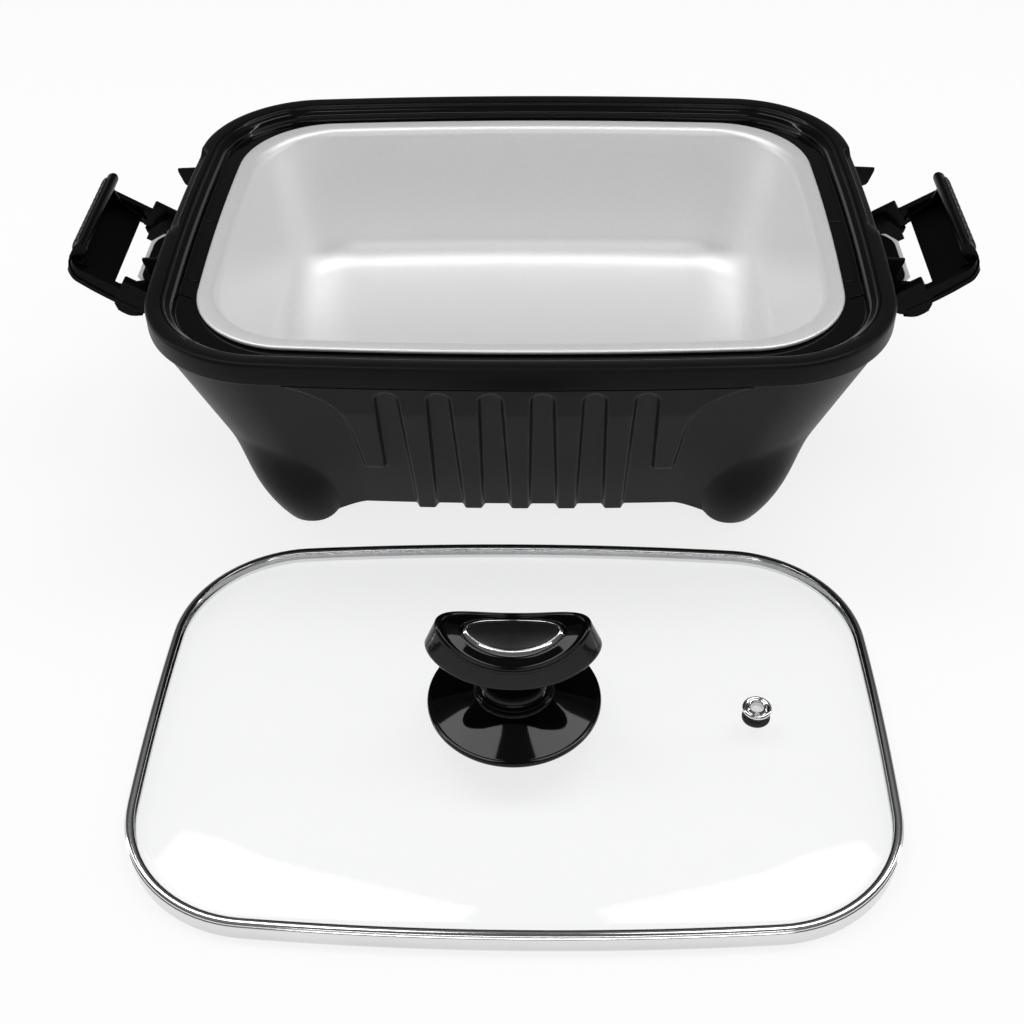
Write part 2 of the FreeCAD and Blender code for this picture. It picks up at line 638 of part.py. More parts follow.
def glassRows(drop):
    steps = ((0, 0), (6, 0.01), (14, 0.28), (32, 0.5), (62, 0.8), (96, 1))
    rows = [(lidW - steel - 0.1, lidD - steel - 0.1, lidR - steel, glassLow - 1.2 - drop * 2)]
    for inset, share in steps:
        z = glassEdge + rise * share - drop
        inset += steel + 0.1
        rows.append((lidW - inset, lidD - inset, max(lidR - inset, 12), z))
    return rows


# The knob and vent stand on the crown of the dome
glassTop = glassEdge + rise
ventAt = dict(x="#vent_x;", y="#vent_y;")
dome = loft("GlassDome", glassRows(0))
under = loft("GlassUnder", glassRows(glassThick))
trimUnder = common("GlassUnderTrim", under,
                   lidDrum("GlassUnderField", 8, -20, 60))
glass = cut("LidGlass", dome, trimUnder,
            rod("KnobHole", 4.1, 40, z=-5),
            rod("VentHole", 4.6, 40, z=-5, **ventAt))
publish(glass, "lid_glass")

publish(turned("KnobWasher", [(4.2, 0), (9, 0), (9, 0.8), (4.2, 0.8)],
               z=glassTop), "knob_washer")
discLow = size("disc_low")
lift = glassTop + 0.8
publish(turned("KnobBase", [
    (3, 0), (13, 0), (14, discLow - lift), ("#disc_r; - 1", discLow - lift),
    ("#disc_r;", discLow - lift + 1), ("#disc_r;", discLow - lift + 2.2),
    ("#disc_r; - 1.4", discLow - lift + 3.2), ("#collar_r;", discLow - lift + 8.6),
    ("#collar_r;", discLow - lift + 10.2), (3, discLow - lift + 10.2)],
    z=lift), "knob_base")
neckLow = discLow + 10.2
neck = turned("KnobNeckTurn", [
    (3, 0), ("#collar_r; - 1", 0), ("#collar_r; - 0.6", 1.2), ("#collar_r; - 1.4", 2.4),
    ("#neck_r;", 3.4), ("#neck_r; - 0.4", 9), ("#neck_r; + 0.4", 20.6), (3, 20.6)],
    z=neckLow)
neckTop = size("saddle_low")


# Saddle: rises towards both ends in X and falls off in Y, cut to an oval
def saddle(name, lowOval, highOval, low, high, lowCrown, highCrown):
    reach, half = 44.0, 24.0
    sections = []
    for i in range(7):
        x = reach * (i - 3) / 3
        rise = size("saddle_rise") * (x / 42) ** 2
        lowZ, highZ = low + rise, high + rise
        underArc = Part.Arc(V(x, -half, lowZ - lowCrown), V(x, 0, lowZ), V(x, half, lowZ - lowCrown))
        overArc = Part.Arc(V(x, half, highZ - highCrown), V(x, 0, highZ),
                           V(x, -half, highZ - highCrown))
        front = Part.LineSegment(overArc.EndPoint, underArc.StartPoint)
        back = Part.LineSegment(underArc.EndPoint, overArc.StartPoint)
        wire = Part.Wire([edge.toShape() for edge in (underArc, back, overArc, front)])
        wire.translate(V(0, shift(), 0))
        section = doc.addObject("Part::Feature", "%sSection%d" % (name, i))
        section.Shape = wire
        sections.append(section)
    arch = doc.addObject("Part::Loft", name + "Arch")
    arch.Sections = sections
    arch.Solid = True
    ovals = []
    for word, (halfW, halfD), z in (("Low", lowOval, 40), ("High", highOval, 84)):
        oval = doc.addObject("Part::Ellipse", name + word)
        bind(oval, "MajorRadius", halfW)
        bind(oval, "MinorRadius", halfD)
        ovals.append(place(oval, z=z))
    column = doc.addObject("Part::Loft", name + "Column")
    column.Sections = ovals
    column.Solid = True
    column.Ruled = True
    return common(name, column, arch)


saddleHigh, crownFall = size("saddle_high"), size("saddle_crown")
inlayW, inlayD = size("inlay_half_w"), size("inlay_half_d")


def inlaid(name, grow, low, high):
    oval = (inlayW + grow, inlayD + grow)
    return saddle(name, oval, oval, saddleHigh + low, saddleHigh + high, crownFall, crownFall)


gripSolid = saddle("GripSolid", (47.8, 20.4), (29.6, 15.9), neckTop, saddleHigh, 0.5, crownFall)
publish(cut("KnobNeck", neck, gripSolid), "knob_neck")
recess = inlaid("GripRecess", 2.6, -2.2, 8)
publish(cut("KnobGrip", gripSolid, recess, rod("GripBore", 3, 10, z=45)), "knob_grip")
publish(cut("KnobTrim", inlaid("TrimOuter", 2.2, -2.2, 0.4), inlaid("TrimInner", 0, -6, 6)),
        "knob_trim")
publish(inlaid("KnobInlay", 0, -2.2, -0.2), "knob_inlay")

screwLow = glassTop - glassThick - 3.4
publish(turned("KnobScrew", [
    (0, 0), (7.4, 0), (8.4, 1.4), (8.4, 3.4), (4, 3.4), (4, 8.2), (3, 8.2),
    (3, 50 - screwLow), (0, 50 - screwLow)], z=screwLow), "knob_screw")

# Steam vent: a flanged grommet with a washer below the glass
publish(turned("VentGrommet", [
    (3.2, 0), (4.5, 0), (4.5, 6), (6.6, 6), (7, 6.8), (6.4, 7.8), (4.6, 8.2),
    (3.9, 7.4), (3.2, 6.8)], z=7.6, **ventAt), "vent_grommet")
publish(turned("VentWasher", [(4.5, 0), (6.6, 0), (6.6, 0.9), (4.5, 0.9)],
               z=7.9, **ventAt), "vent_washer")

doc.recompute()

faults = []
for obj in doc.Objects:
    if "Invalid" in obj.State or "Error" in obj.State:
        faults.append("%s: %s" % (obj.Name, obj.State))
for obj in subParts:
    shape = obj.Shape
    if shape.isNull() or not shape.isValid() or not shape.Solids:
        faults.append("%s has no valid solid" % obj.Label)
    else:
        box = shape.BoundBox
        print("%-28s solids %d  volume %9.0f  x %7.1f %7.1f  y %7.1f %7.1f  z %6.1f %6.1f" % (
            obj.Label, len(shape.Solids), shape.Volume,
            box.XMin, box.XMax, box.YMin, box.YMax, box.ZMin, box.ZMax))
if faults:
    raise SystemExit("\n".join(faults))
for obj in subParts:
    obj.Shape.exportStep("parts/%s.step" % obj.Label)
print("wrote", len(subParts), "parts")
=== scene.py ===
import bpy
import bmesh
import math
from mathutils import Matrix, Vector


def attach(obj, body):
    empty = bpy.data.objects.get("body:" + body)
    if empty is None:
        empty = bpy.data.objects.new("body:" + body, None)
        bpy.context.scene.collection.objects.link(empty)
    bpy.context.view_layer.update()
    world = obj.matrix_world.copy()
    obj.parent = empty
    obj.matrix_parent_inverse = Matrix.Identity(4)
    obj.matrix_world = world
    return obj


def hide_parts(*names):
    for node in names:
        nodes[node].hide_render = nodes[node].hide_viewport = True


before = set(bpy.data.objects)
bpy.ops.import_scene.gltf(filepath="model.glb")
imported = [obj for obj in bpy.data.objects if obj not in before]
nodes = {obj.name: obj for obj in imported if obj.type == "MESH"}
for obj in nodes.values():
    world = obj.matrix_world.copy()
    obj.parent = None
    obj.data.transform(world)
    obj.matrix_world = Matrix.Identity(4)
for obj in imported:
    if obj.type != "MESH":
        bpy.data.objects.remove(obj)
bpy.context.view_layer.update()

# Sizes are written in millimetres and become metres when a mesh is made
scale = 0.001
sharpAngle = 38
mouldedIndex = 1.46
pot = {"y": 110.4, "arcs": (2000, 1600)}
lid = {"y": -135.0, "arcs": (1500, 1500)}


# shader sockets as Python values
class Wire:
    def __init__(self, tree, out):
        self.tree = tree
        self.out = out

    def math(self, operation, other=None, flip=False):
        node = self.tree.nodes.new("ShaderNodeMath")
        node.operation = operation
        pair = [self] if other is None else [other, self] if flip else [self, other]
        for i, value in enumerate(pair):
            if isinstance(value, Wire):
                self.tree.links.new(value.out, node.inputs[i])
            else:
                node.inputs[i].default_value = value
        return Wire(self.tree, node.outputs[0])

    def __add__(self, other): return self.math("ADD", other)
    def __radd__(self, other): return self.math("ADD", other)
    def __sub__(self, other): return self.math("SUBTRACT", other)
    def __rsub__(self, other): return self.math("SUBTRACT", other, True)
    def __mul__(self, other): return self.math("MULTIPLY", other)
    def __rmul__(self, other): return self.math("MULTIPLY", other)
    def __pow__(self, other): return self.math("POWER", other)
    def __rpow__(self, other): return self.math("POWER", other, True)


class Finish:
    def __init__(self, name, world=False):
        if world:
            self.block = bpy.data.worlds.new(name)
        else:
            self.block = bpy.data.materials.new(name)
        self.block.use_nodes = True
        self.tree = self.block.node_tree
        self.tree.nodes.clear()

    # One call for every other node: its type, its settings, then its sockets
    def add(self, kind, settings=None, sockets=None, out=0):
        node = self.tree.nodes.new("ShaderNode" + kind)
        for key, value in (settings or {}).items():
            if key == "stops":
                ramp = node.color_ramp
                while len(ramp.elements) > 1:
                    ramp.elements.remove(ramp.elements[0])
                for i, (place, tone) in enumerate(value):
                    stop = ramp.elements[0] if i == 0 else ramp.elements.new(place)
                    stop.position = place
                    stop.color = tone if len(tone) == 4 else (*tone, 1)
            else:
                setattr(node, key, value)
        for key, value in (sockets or {}).items():
            if isinstance(value, Wire):
                self.tree.links.new(value.out, node.inputs[key])
            else:
                node.inputs[key].default_value = value
        return Wire(self.tree, node.outputs[out]) if node.outputs else None

    def place(self):
        return self.add("TexCoord", out="Object")

    def noise(self, size, detail=2.0, rough=0.5):
        return self.add("TexNoise", sockets={
            "Vector": self.place(), "Scale": 1 / (size * scale), "Detail": detail,
            "Roughness": rough})

    def bump(self, height, depth, strength=1.0):
        return self.add("Bump", sockets={
            "Height": height, "Distance": depth * scale, "Strength": strength})

    def blendColour(self, factor, low, high):
        return self.add("Mix", {"data_type": "RGBA"}, {
            "Factor": factor, 6: (*low, 1), 7: (*high, 1)}, out=2)

    def done(self, shader):
        kind = "OutputWorld" if isinstance(self.block, bpy.types.World) else "OutputMaterial"
        self.add(kind, sockets={"Surface": shader})
        return self.block


# Moulded or cast surface: tone, gloss and grain that vary over it
def moulded(name, look):
    finish = Finish(name)
    patch = finish.noise(look["patchSize"], 3)
    grain = finish.noise(look["grainSize"], 2)
    tone = finish.blendColour(patch, look["dark"], look["light"])
    rough = patch * look["roughSpread"] + (look["rough"] - look["roughSpread"] / 2)
    normal = finish.bump(grain, look["grainDepth"])
    settings = {"Base Color": tone, "Roughness": rough, "Normal": normal,
                "Metallic": look.get("metal", 0.0), "IOR": mouldedIndex,
                "Specular IOR Level": look.get("specular", 0.5)}
    return finish.done(finish.add("BsdfPrincipled", sockets=settings))


finishes = {
    "housing": moulded("satinHousing", {
        "dark": (0.0036, 0.0036, 0.0038), "light": (0.0054, 0.0054, 0.0057), "patchSize": 60,
        "rough": 0.38, "roughSpread": 0.1, "grainSize": 0.45, "grainDepth": 0.02,
        "specular": 0.11}),
    "ring": moulded("glossRing", {
        "dark": (0.0016, 0.0016, 0.0017), "light": (0.0026, 0.0026, 0.0028), "patchSize": 35,
        "rough": 0.08, "roughSpread": 0.04, "grainSize": 1.4, "grainDepth": 0.002,
        "specular": 0.3}),
    "handle": moulded("satinHandle", {
        "dark": (0.0008, 0.0008, 0.0009), "light": (0.0014, 0.0014, 0.0015), "patchSize": 30,
        "rough": 0.3, "roughSpread": 0.1, "grainSize": 0.5, "grainDepth": 0.015,
        "specular": 0.09}),
    "grip": moulded("softGrip", {
        "dark": (0.0028, 0.0028, 0.0030), "light": (0.0044, 0.0044, 0.0046), "patchSize": 16,
        "rough": 0.24, "roughSpread": 0.08, "grainSize": 0.35, "grainDepth": 0.01,
        "specular": 0.4}),
    "rubber": moulded("footRubber", {
        "dark": (0.008, 0.008, 0.008), "light": (0.014, 0.014, 0.014), "patchSize": 9,
        "rough": 0.7, "roughSpread": 0.1, "grainSize": 0.3, "grainDepth": 0.04}),
    "pot": moulded("blastedPot", {
        "dark": (0.83, 0.83, 0.83), "light": (0.94, 0.94, 0.94), "patchSize": 0.9,
        "rough": 0.46, "roughSpread": 0.08, "grainSize": 0.6, "grainDepth": 0.035, "metal": 0.62}),
    "cast": moulded("castPlate", {
        "dark": (0.42, 0.42, 0.43), "light": (0.55, 0.55, 0.56), "patchSize": 5,
        "rough": 0.55, "roughSpread": 0.15, "grainSize": 0.8, "grainDepth": 0.06, "metal": 1.0}),
    "steel": moulded("brightSteel", {
        "dark": (0.60, 0.60, 0.61), "light": (0.74, 0.74, 0.75), "patchSize": 6,
        "rough": 0.24, "roughSpread": 0.1, "grainSize": 0.5, "grainDepth": 0.008, "metal": 1.0}),
    "shield": moulded("shieldSheet", {
        "dark": (0.55, 0.55, 0.56), "light": (0.68, 0.68, 0.69), "patchSize": 14,
        "rough": 0.35, "roughSpread": 0.14, "grainSize": 2.2, "grainDepth": 0.02, "metal": 1.0}),
    "element": moulded("heatedTube", {
        "dark": (0.16, 0.14, 0.13), "light": (0.34, 0.32, 0.31), "patchSize": 12,
        "rough": 0.5, "roughSpread": 0.15, "grainSize": 0.9, "grainDepth": 0.02, "metal": 1.0}),
    "plate": moulded("stopPlate", {
        "dark": (0.50, 0.50, 0.50), "light": (0.62, 0.62, 0.62), "patchSize": 10,
        "rough": 0.45, "roughSpread": 0.1, "grainSize": 0.8, "grainDepth": 0.02}),
    "band": moulded("polishedBand", {
        "dark": (0.68, 0.68, 0.69), "light": (0.78, 0.78, 0.79), "patchSize": 40,
        "rough": 0.1, "roughSpread": 0.04, "grainSize": 3, "grainDepth": 0.001, "metal": 1.0}),
    "knob": moulded("glossKnob", {
        "dark": (0.0010, 0.0010, 0.0011), "light": (0.0018, 0.0018, 0.0019), "patchSize": 14,
        "rough": 0.05, "roughSpread": 0.04, "grainSize": 1.2, "grainDepth": 0.0012,
        "specular": 0.3}),
    "inlay": moulded("satinInlay", {
        "dark": (0.0060, 0.0060, 0.0062), "light": (0.0090, 0.0090, 0.0094), "patchSize": 8,
        "rough": 0.3, "roughSpread": 0.08, "grainSize": 0.3, "grainDepth": 0.008,
        "specular": 0.3}),
    "chrome": moulded("knobChrome", {
        "dark": (0.80, 0.80, 0.81), "light": (0.88, 0.88, 0.89), "patchSize": 8,
        "rough": 0.1, "roughSpread": 0.04, "grainSize": 0.5, "grainDepth": 0.003, "metal": 1.0}),
}


# Clear glass: what is behind it, with a film of reflection over it
def clearGlass():
    look = {"tint": (0.988, 0.991, 0.99, 1), "face": 0.012, "edge": 0.6, "edgePower": 4,
            "smearSize": 45, "smearDepth": 0.05, "rough": 0.03}
    finish = Finish("clearGlass")
    smear = finish.noise(look["smearSize"], 3)
    slant = finish.add("LayerWeight", sockets={"Blend": 0.5}, out="Facing")
    share = slant ** look["edgePower"] * look["edge"] + look["face"]
    through = finish.add("BsdfTransparent", sockets={"Color": look["tint"]})
    shine = finish.add("BsdfGlossy", sockets={
        "Color": (1, 1, 1, 1), "Roughness": look["rough"],
        "Normal": finish.bump(smear, look["smearDepth"])})
    return finish.done(finish.add("MixShader", sockets={0: share, 1: through, 2: shine}))


finishes["glass"] = clearGlass()
print("materials made", len(finishes))


# mesh tools
def makeMesh(name, verts, faces, finish, sharp=sharpAngle):
    mesh = bpy.data.meshes.new(name)
    mesh.from_pydata([Vector(v) * scale for v in verts], [], faces)
    mesh.validate()
    tool = bmesh.new()
    tool.from_mesh(mesh)
    bmesh.ops.recalc_face_normals(tool, faces=tool.faces)
    tool.to_mesh(mesh)
    tool.free()
    mesh.shade_smooth()
    mesh.set_sharp_from_angle(angle=math.radians(sharp))
    piece = bpy.data.objects.new(name, mesh)
    bpy.context.scene.collection.objects.link(piece)
    piece.data.materials.append(finishes[finish])
    return piece


# Rounds the edges of a piece and keeps the result as its mesh
def settle(piece, width=0.0, segments=3, angle=30):
    if width:
        edge = piece.modifiers.new("Edge", "BEVEL")
        edge.width = width * scale
        edge.segments = segments
        edge.limit_method = "ANGLE"
        edge.angle_limit = math.radians(angle)
        edge.use_clamp_overlap = True
        even = piece.modifiers.new("Even", "WEIGHTED_NORMAL")
        even.keep_sharp = True
    bpy.context.view_layer.update()
    graph = bpy.context.evaluated_depsgraph_get()
    mesh = bpy.data.meshes.new_from_object(piece.evaluated_get(graph))
    piece.modifiers.clear()
    piece.data = mesh
    return piece


def joined(name, pieces):
    tool = bmesh.new()
    for piece in pieces:
        start = len(tool.verts)
        tool.from_mesh(piece.data)
        tool.verts.ensure_lookup_table()
        for vert in tool.verts[start:]:
            vert.co = piece.matrix_world @ vert.co
    mesh = pieces[0].data
    tool.to_mesh(mesh)
    tool.free()
    for piece in pieces[1:]:
        bpy.data.objects.remove(piece)
    pieces[0].name = name
    return pieces[0]


def step(low, high, value):
    t = min(max((value - low) / (high - low), 0.0), 1.0)
    return t * t * (3 - 2 * t)


def between(table, x):
    if x <= table[0][0]:
        return table[0][1]
    for (x0, y0), (x1, y1) in zip(table, table[1:]):
        if x <= x1:
            return y0 + (y1 - y0) * (x - x0) / (x1 - x0)
    return table[-1][1]


# Softens the corners of a flat line; a corner may carry its own radius
def rounded(points, radius, steps=4, closed=True):
    result = []
    count = len(points)
    for i, point in enumerate(points):
        own = point[2] if len(point) > 2 else radius
        here = Vector(point[:2])
        if not closed and i in (0, count - 1) or own == 0:
            result.append((here.x, here.y))
            continue
        back = Vector(points[i - 1][:2]) - here
        ahead = Vector(points[(i + 1) % count][:2]) - here
        reach = min(own, back.length * 0.49, ahead.length * 0.49)
        start = here + back.normalized() * reach
        stop = here + ahead.normalized() * reach
        for k in range(steps + 1):
            t = k / steps
            spot = start * (1 - t) ** 2 + here * (2 * t * (1 - t)) + stop * t ** 2
            result.append((spot.x, spot.y))
    return result


# Barrel outline: four gently bulged sides joined by tangent corner arcs
def barrel(a, b, corner, group, counts=(10, 14, 14), fine=None):
    longArc, shortArc = group["arcs"]
    one = Vector((0, b - longArc))
    two = Vector((a - shortArc, 0))
    apart = two - one
    reachOne, reachTwo = longArc - corner, shortArc - corner
    along = (reachOne ** 2 - reachTwo ** 2 + apart.length ** 2) / (2 * apart.length)
    off = math.sqrt(max(reachOne ** 2 - along ** 2, 0))
    unit = apart.normalized()
    centre = one + unit * along + Vector((unit.y, -unit.x)) * off
    upper = centre + (centre - one).normalized() * corner
    right = centre + (centre - two).normalized() * corner
    sideCount, cornerCount, longCount = counts
    quarter = []
    for i in range(sideCount):
        y = right.y * i / sideCount
        quarter.append((two.x + math.sqrt(shortArc ** 2 - y * y), y))
    low = math.atan2(right.y - centre.y, right.x - centre.x)
    high = math.atan2(upper.y - centre.y, upper.x - centre.x)
    for i in range(cornerCount):
        t = low + (high - low) * i / cornerCount
        quarter.append((centre.x + corner * math.cos(t), centre.y + corner * math.sin(t)))

    def longHalf(xs):
        return [(x, one.y + math.sqrt(longArc ** 2 - x * x)) for x in xs]

    plain = [upper.x * (1 - i / longCount) for i in range(longCount + 1)]
    close = plain
    if fine:
        edge, gap, outer = fine
        inner = int(edge / gap)
        close = [upper.x + (edge - upper.x) * i / outer for i in range(outer)]
        close += [edge * (1 - i / inner) for i in range(inner + 1)]
    back = quarter + longHalf(plain)
    front = quarter + longHalf(close)
    loop = back + [(-x, y) for x, y in reversed(back[1:-1])]
    loop += [(-x, -y) for x, y in front] + [(x, -y) for x, y in reversed(front[1:-1])]
    return [(x, y + group["y"]) for x, y in loop]


# One level of a barrel shape; bend is how much of the inset its corners take
def barrelRing(size, inset, z, group, counts, bend=1.0, least=0.0, fine=None):
    a, b, corner = size
    rows = barrel(a - inset, b - inset, max(corner - inset * bend, least), group, counts, fine)
    return [(x, y, z) for x, y in rows]


# Surface through rings of points; closed runs back to its first ring
def skin(name, rings, finish, closed=True, sharp=sharpAngle):
    count = len(rings[0])
    verts = [p for ring in rings for p in ring]
    faces = []
    for k in range(len(rings) if closed else len(rings) - 1):
        low, high = k * count, (k + 1) % len(rings) * count
        for i in range(count):
            j = (i + 1) % count
            faces.append((low + i, low + j, high + j, high + i))
    if not closed:
        faces.append(list(range(count)))
        faces.append(list(range((len(rings) - 1) * count, len(rings) * count)))
    return makeMesh(name, verts, faces, finish, sharp)


# Ring-shaped piece: a closed line of (inset, height) carried round a barrel
def hoop(name, size, line, group, finish, counts=(12, 20, 24)):
    rings = [barrelRing(size, inset, z, group, counts, least=6) for inset, z in line]
    return skin(name, rings, finish)


def lathe(name, line, finish, centre=(0, 0), steps=96, closed=True):
    rings = []
    for radius, z in line:
        radius = max(radius, 0.02)
        rings.append([(centre[0] + radius * math.cos(math.tau * i / steps),
                       centre[1] + radius * math.sin(math.tau * i / steps), z)
                      for i in range(steps)])
    return skin(name, rings, finish, closed)


# Flat line carried straight from low to high; place says which way it lies
def prism(name, line, low, high, finish, place=lambda a, b, h: (a, h, b)):
    count = len(line)
    verts = [place(a, b, h) for h in (low, high) for a, b in line]
    faces = [list(range(count)), list(range(count, 2 * count))]
    faces += [(i, (i + 1) % count, count + (i + 1) % count, count + i) for i in range(count)]
    return makeMesh(name, verts, faces, finish)


# A finer copy of a kept shape: flat faces joined up, then its edges rounded
def refined(name, node, finish, width):
    piece = nodes[node].copy()
    piece.data = nodes[node].data.copy()
    piece.name = name
    bpy.context.scene.collection.objects.link(piece)
    tool = bmesh.new()
    tool.from_mesh(piece.data)
    bmesh.ops.remove_doubles(tool, verts=tool.verts, dist=0.00001)
    bmesh.ops.dissolve_limit(tool, angle_limit=math.radians(4), verts=tool.verts, edges=tool.edges)
    tool.to_mesh(piece.data)
    tool.free()
    piece.data.shade_smooth()
    piece.data.set_sharp_from_angle(angle=math.radians(sharpAngle))
    piece.data.materials.clear()
    piece.data.materials.append(finishes[finish])
    return settle(piece, width, 2)


def settled(piece, body, slot, *stands):
    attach(piece, body)
    if stands:
        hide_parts(*stands)
    return piece


# camera and studio
view = {"spot": (16.2, -585.8, 535.2), "pitch": 41.42, "yaw": 1.99, "roll": -1.04,
        "lens": 51.19, "sensor": 36.0}


def addCamera():
    pitch, yaw, roll = (math.radians(view[k]) for k in ("pitch", "yaw", "roll"))
    ahead = Vector((-math.sin(yaw) * math.cos(pitch), math.cos(yaw) * math.cos(pitch),
                    -math.sin(pitch)))
    right = Vector((math.cos(yaw), math.sin(yaw), 0))
    up = right.cross(ahead)
    turnedRight = right * math.cos(roll) + up * math.sin(roll)
    turnedUp = up * math.cos(roll) - right * math.sin(roll)
    data = bpy.data.cameras.new("PhotoView")
    data.lens = view["lens"]
    data.sensor_width = view["sensor"]
    data.sensor_fit = "HORIZONTAL"
    camera = bpy.data.objects.new("PhotoView", data)
    turn = Matrix((turnedRight, turnedUp, -ahead)).transposed().to_4x4()
    camera.matrix_world = Matrix.Translation(Vector(view["spot"]) * scale) @ turn
    bpy.context.scene.collection.objects.link(camera)
    bpy.context.scene.camera = camera


studio = {
    "shade": 0.42,
    # what gloss and metal see above the floor: height of the ray, then brightness
    "dome": [(0.0, 1.0), (0.1, 0.9), (0.24, 0.12), (0.7, 0.08), (0.84, 0.3), (0.95, 0.12)],
    # name, place, aim, size and power of each lamp, in metres and watts
    "lamps": [
        ("overheadLeft", (-0.62, 0.3, 1.65), (-0.1, 0.05, 0.1), (0.62, 0.9), 7.2),
        ("overheadRight", (0.62, 0.3, 1.65), (0.1, 0.05, 0.1), (0.62, 0.9), 7.2),
        ("frontFill", (0.1, -1.5, 1.35), (0.0, 0.0, 0.1), (1.3, 0.14), 4.0),
        ("leftStrip", (-1.3, 0.2, 0.8), (0.0, 0.05, 0.1), (0.12, 1.3), 3.2),
        ("rightStrip", (1.3, 0.2, 0.8), (0.0, 0.05, 0.1), (0.12, 1.3), 3.2),
    ],
    "floorHalf": 4000, "floorGlow": 0.8,
}


def addStudio():
    for name, spot, aim, size, power in studio["lamps"]:
        data = bpy.data.lights.new(name, "AREA")
        data.shape = "RECTANGLE"
        data.size, data.size_y = size
        data.energy = power
        lamp = bpy.data.objects.new(name, data)
        lamp.location = spot
        lamp.rotation_euler = (Vector(aim) - Vector(spot)).to_track_quat("-Z", "Y").to_euler()
        bpy.context.scene.collection.objects.link(lamp)
    finish = Finish("studioWorld", world=True)
    seen = finish.add("LightPath", out="Is Camera Ray") + finish.add(
        "LightPath", out="Is Transmission Ray")
    glossy = finish.add("LightPath", out="Is Glossy Ray")
    height = finish.add("SeparateXYZ", sockets={"Vector": finish.add("TexCoord", out="Generated")},
                        out=2)
    dome = finish.add("ValToRGB", {"stops": [(z, (t, t, t)) for z, t in studio["dome"]]},
                      {"Fac": height})
    shade = studio["shade"]
    white = finish.add("Background", sockets={"Color": (1, 1, 1, 1), "Strength": 1.0})
    soft = finish.add("Background", sockets={"Color": (shade, shade, shade, 1), "Strength": 1.0})
    upper = finish.add("Background", sockets={"Color": dome, "Strength": 1.0})
    around = finish.add("MixShader", sockets={0: glossy, 1: soft, 2: upper})
    bpy.context.scene.world = finish.done(
        finish.add("MixShader", sockets={0: seen, 1: around, 2: white}))


def addFloor():
    half = studio["floorHalf"]
    mesh = bpy.data.meshes.new("studioFloor")
    mesh.from_pydata([Vector((x, y, 0)) * scale for x, y in (
        (-half, -half), (half, -half), (half, half), (-half, half))], [], [(0, 1, 2, 3)])
    floor = bpy.data.objects.new("studioFloor", mesh)
    bpy.context.scene.collection.objects.link(floor)
    finish = Finish("paleFloor")
    tone = finish.blendColour(finish.noise(400, 1), (0.93, 0.93, 0.93), (0.95, 0.95, 0.95))
    seen = finish.add("LightPath", out="Is Camera Ray")
    for ray in ("Is Glossy Ray", "Is Transmission Ray"):
        seen = seen + finish.add("LightPath", out=ray)
    paper = finish.add("BsdfDiffuse", sockets={"Color": tone})
    glow = finish.add("Emission", sockets={"Color": (1, 1, 1, 1), "Strength": 1.0})
    floor.data.materials.append(finish.done(finish.add("MixShader", sockets={
        0: seen * studio["floorGlow"], 1: paper, 2: glow})))


addCamera()
addStudio()
addFloor()
bpy.context.scene.view_settings.view_transform = "Standard"
print("camera and studio ready")


# tapered housing with its apron, bars and feet
housing = {
    "rim": (190, 144, 66), "rimTop": 135.5, "edge": 2.2, "faceWidth": 8,
    "bandLow": 123.5, "top": (188, 142, 64), "base": (148, 101, 46), "baseLow": 16, "wall": 2.8,
    # points along each side, finer ones on the front wall, and rows up the wall
    "counts": (14, 26, 16), "fine": (96, 0.6, 22), "rows": 96,
    # apron height at two levels, and the slots and bars below it
    "apron": [(104, 3.6), (123.5, 2.0)], "apronHalf": 118, "apronSoft": (-1.2, 1.4),
    "pitch": 25, "slotHalf": 5.3, "slotGrow": 0.019, "slotFrom": 118, "slotArch": 115,
    "tabLow": 54, "barDrop": 0.4, "barsHalf": 56,
    "fins": (-20, 80), "finReach": 205, "finTop": 120, "finHalf": 0.9,
    # part of each side, from front to back, where the rim's shoulder is low
    "ledge": (-15, 72), "ledgeFrom": 170, "inlet": (40.2, 20.8, 65.2), "inletBack": (90, 60),
    "foot": (113.5, 90), "footSize": (12.5, 11), "footSpan": (3, 76), "footCurve": 0.8,
    "footLean": 0.2, "footFade": (80, 60), "blendReach": 9,
    "skirtDrop": 10.5, "skirtReach": 32, "skirtBlend": 22, "skirtCurve": 1.4,
}
# how far the apron reaches from the middle, by level
apronEdge = [(54, 79.6), (64, 80.4), (76, 81.5), (88, 82.8), (97, 84.4), (102, 85.9),
             (106, 87.8), (110, 90.6), (113.5, 94.2), (117, 99), (120, 104.5), (123.5, 113)]


def wallSize(z):
    share = (z - housing["baseLow"]) / (housing["bandLow"] - housing["baseLow"])
    share = min(max(share, 0), 1)
    return [p + (q - p) * share for p, q in zip(housing["base"], housing["top"])]


# Height of the raised apron at a place on the front wall, 0 to 1
def apronShare(x, z):
    x = abs(x)
    slotHalf = housing["slotHalf"] + (housing["slotFrom"] - z) * housing["slotGrow"]
    inside = between(apronEdge, z) - x
    pitch, arch = housing["pitch"], housing["slotArch"]
    centre = min(((n + 0.5) * pitch for n in range(3)), key=lambda c: abs(x - c))
    if z > arch:
        outside = math.hypot(x - centre, z - arch) - slotHalf
    else:
        outside = abs(x - centre) - slotHalf
    reach = min(inside, outside)
    if x > 2.5 * pitch:
        reach = min(reach, z - housing["tabLow"])
    return step(*housing["apronSoft"], reach)


# The feet swell from the lower corners of the wall
def footRadius(z):
    low, high = housing["footSpan"]
    small, gain = housing["footSize"]
    share = min(max((z - low) / (high - low), 0), 1)
    return small + gain * math.sin(math.pi * share) ** housing["footCurve"]


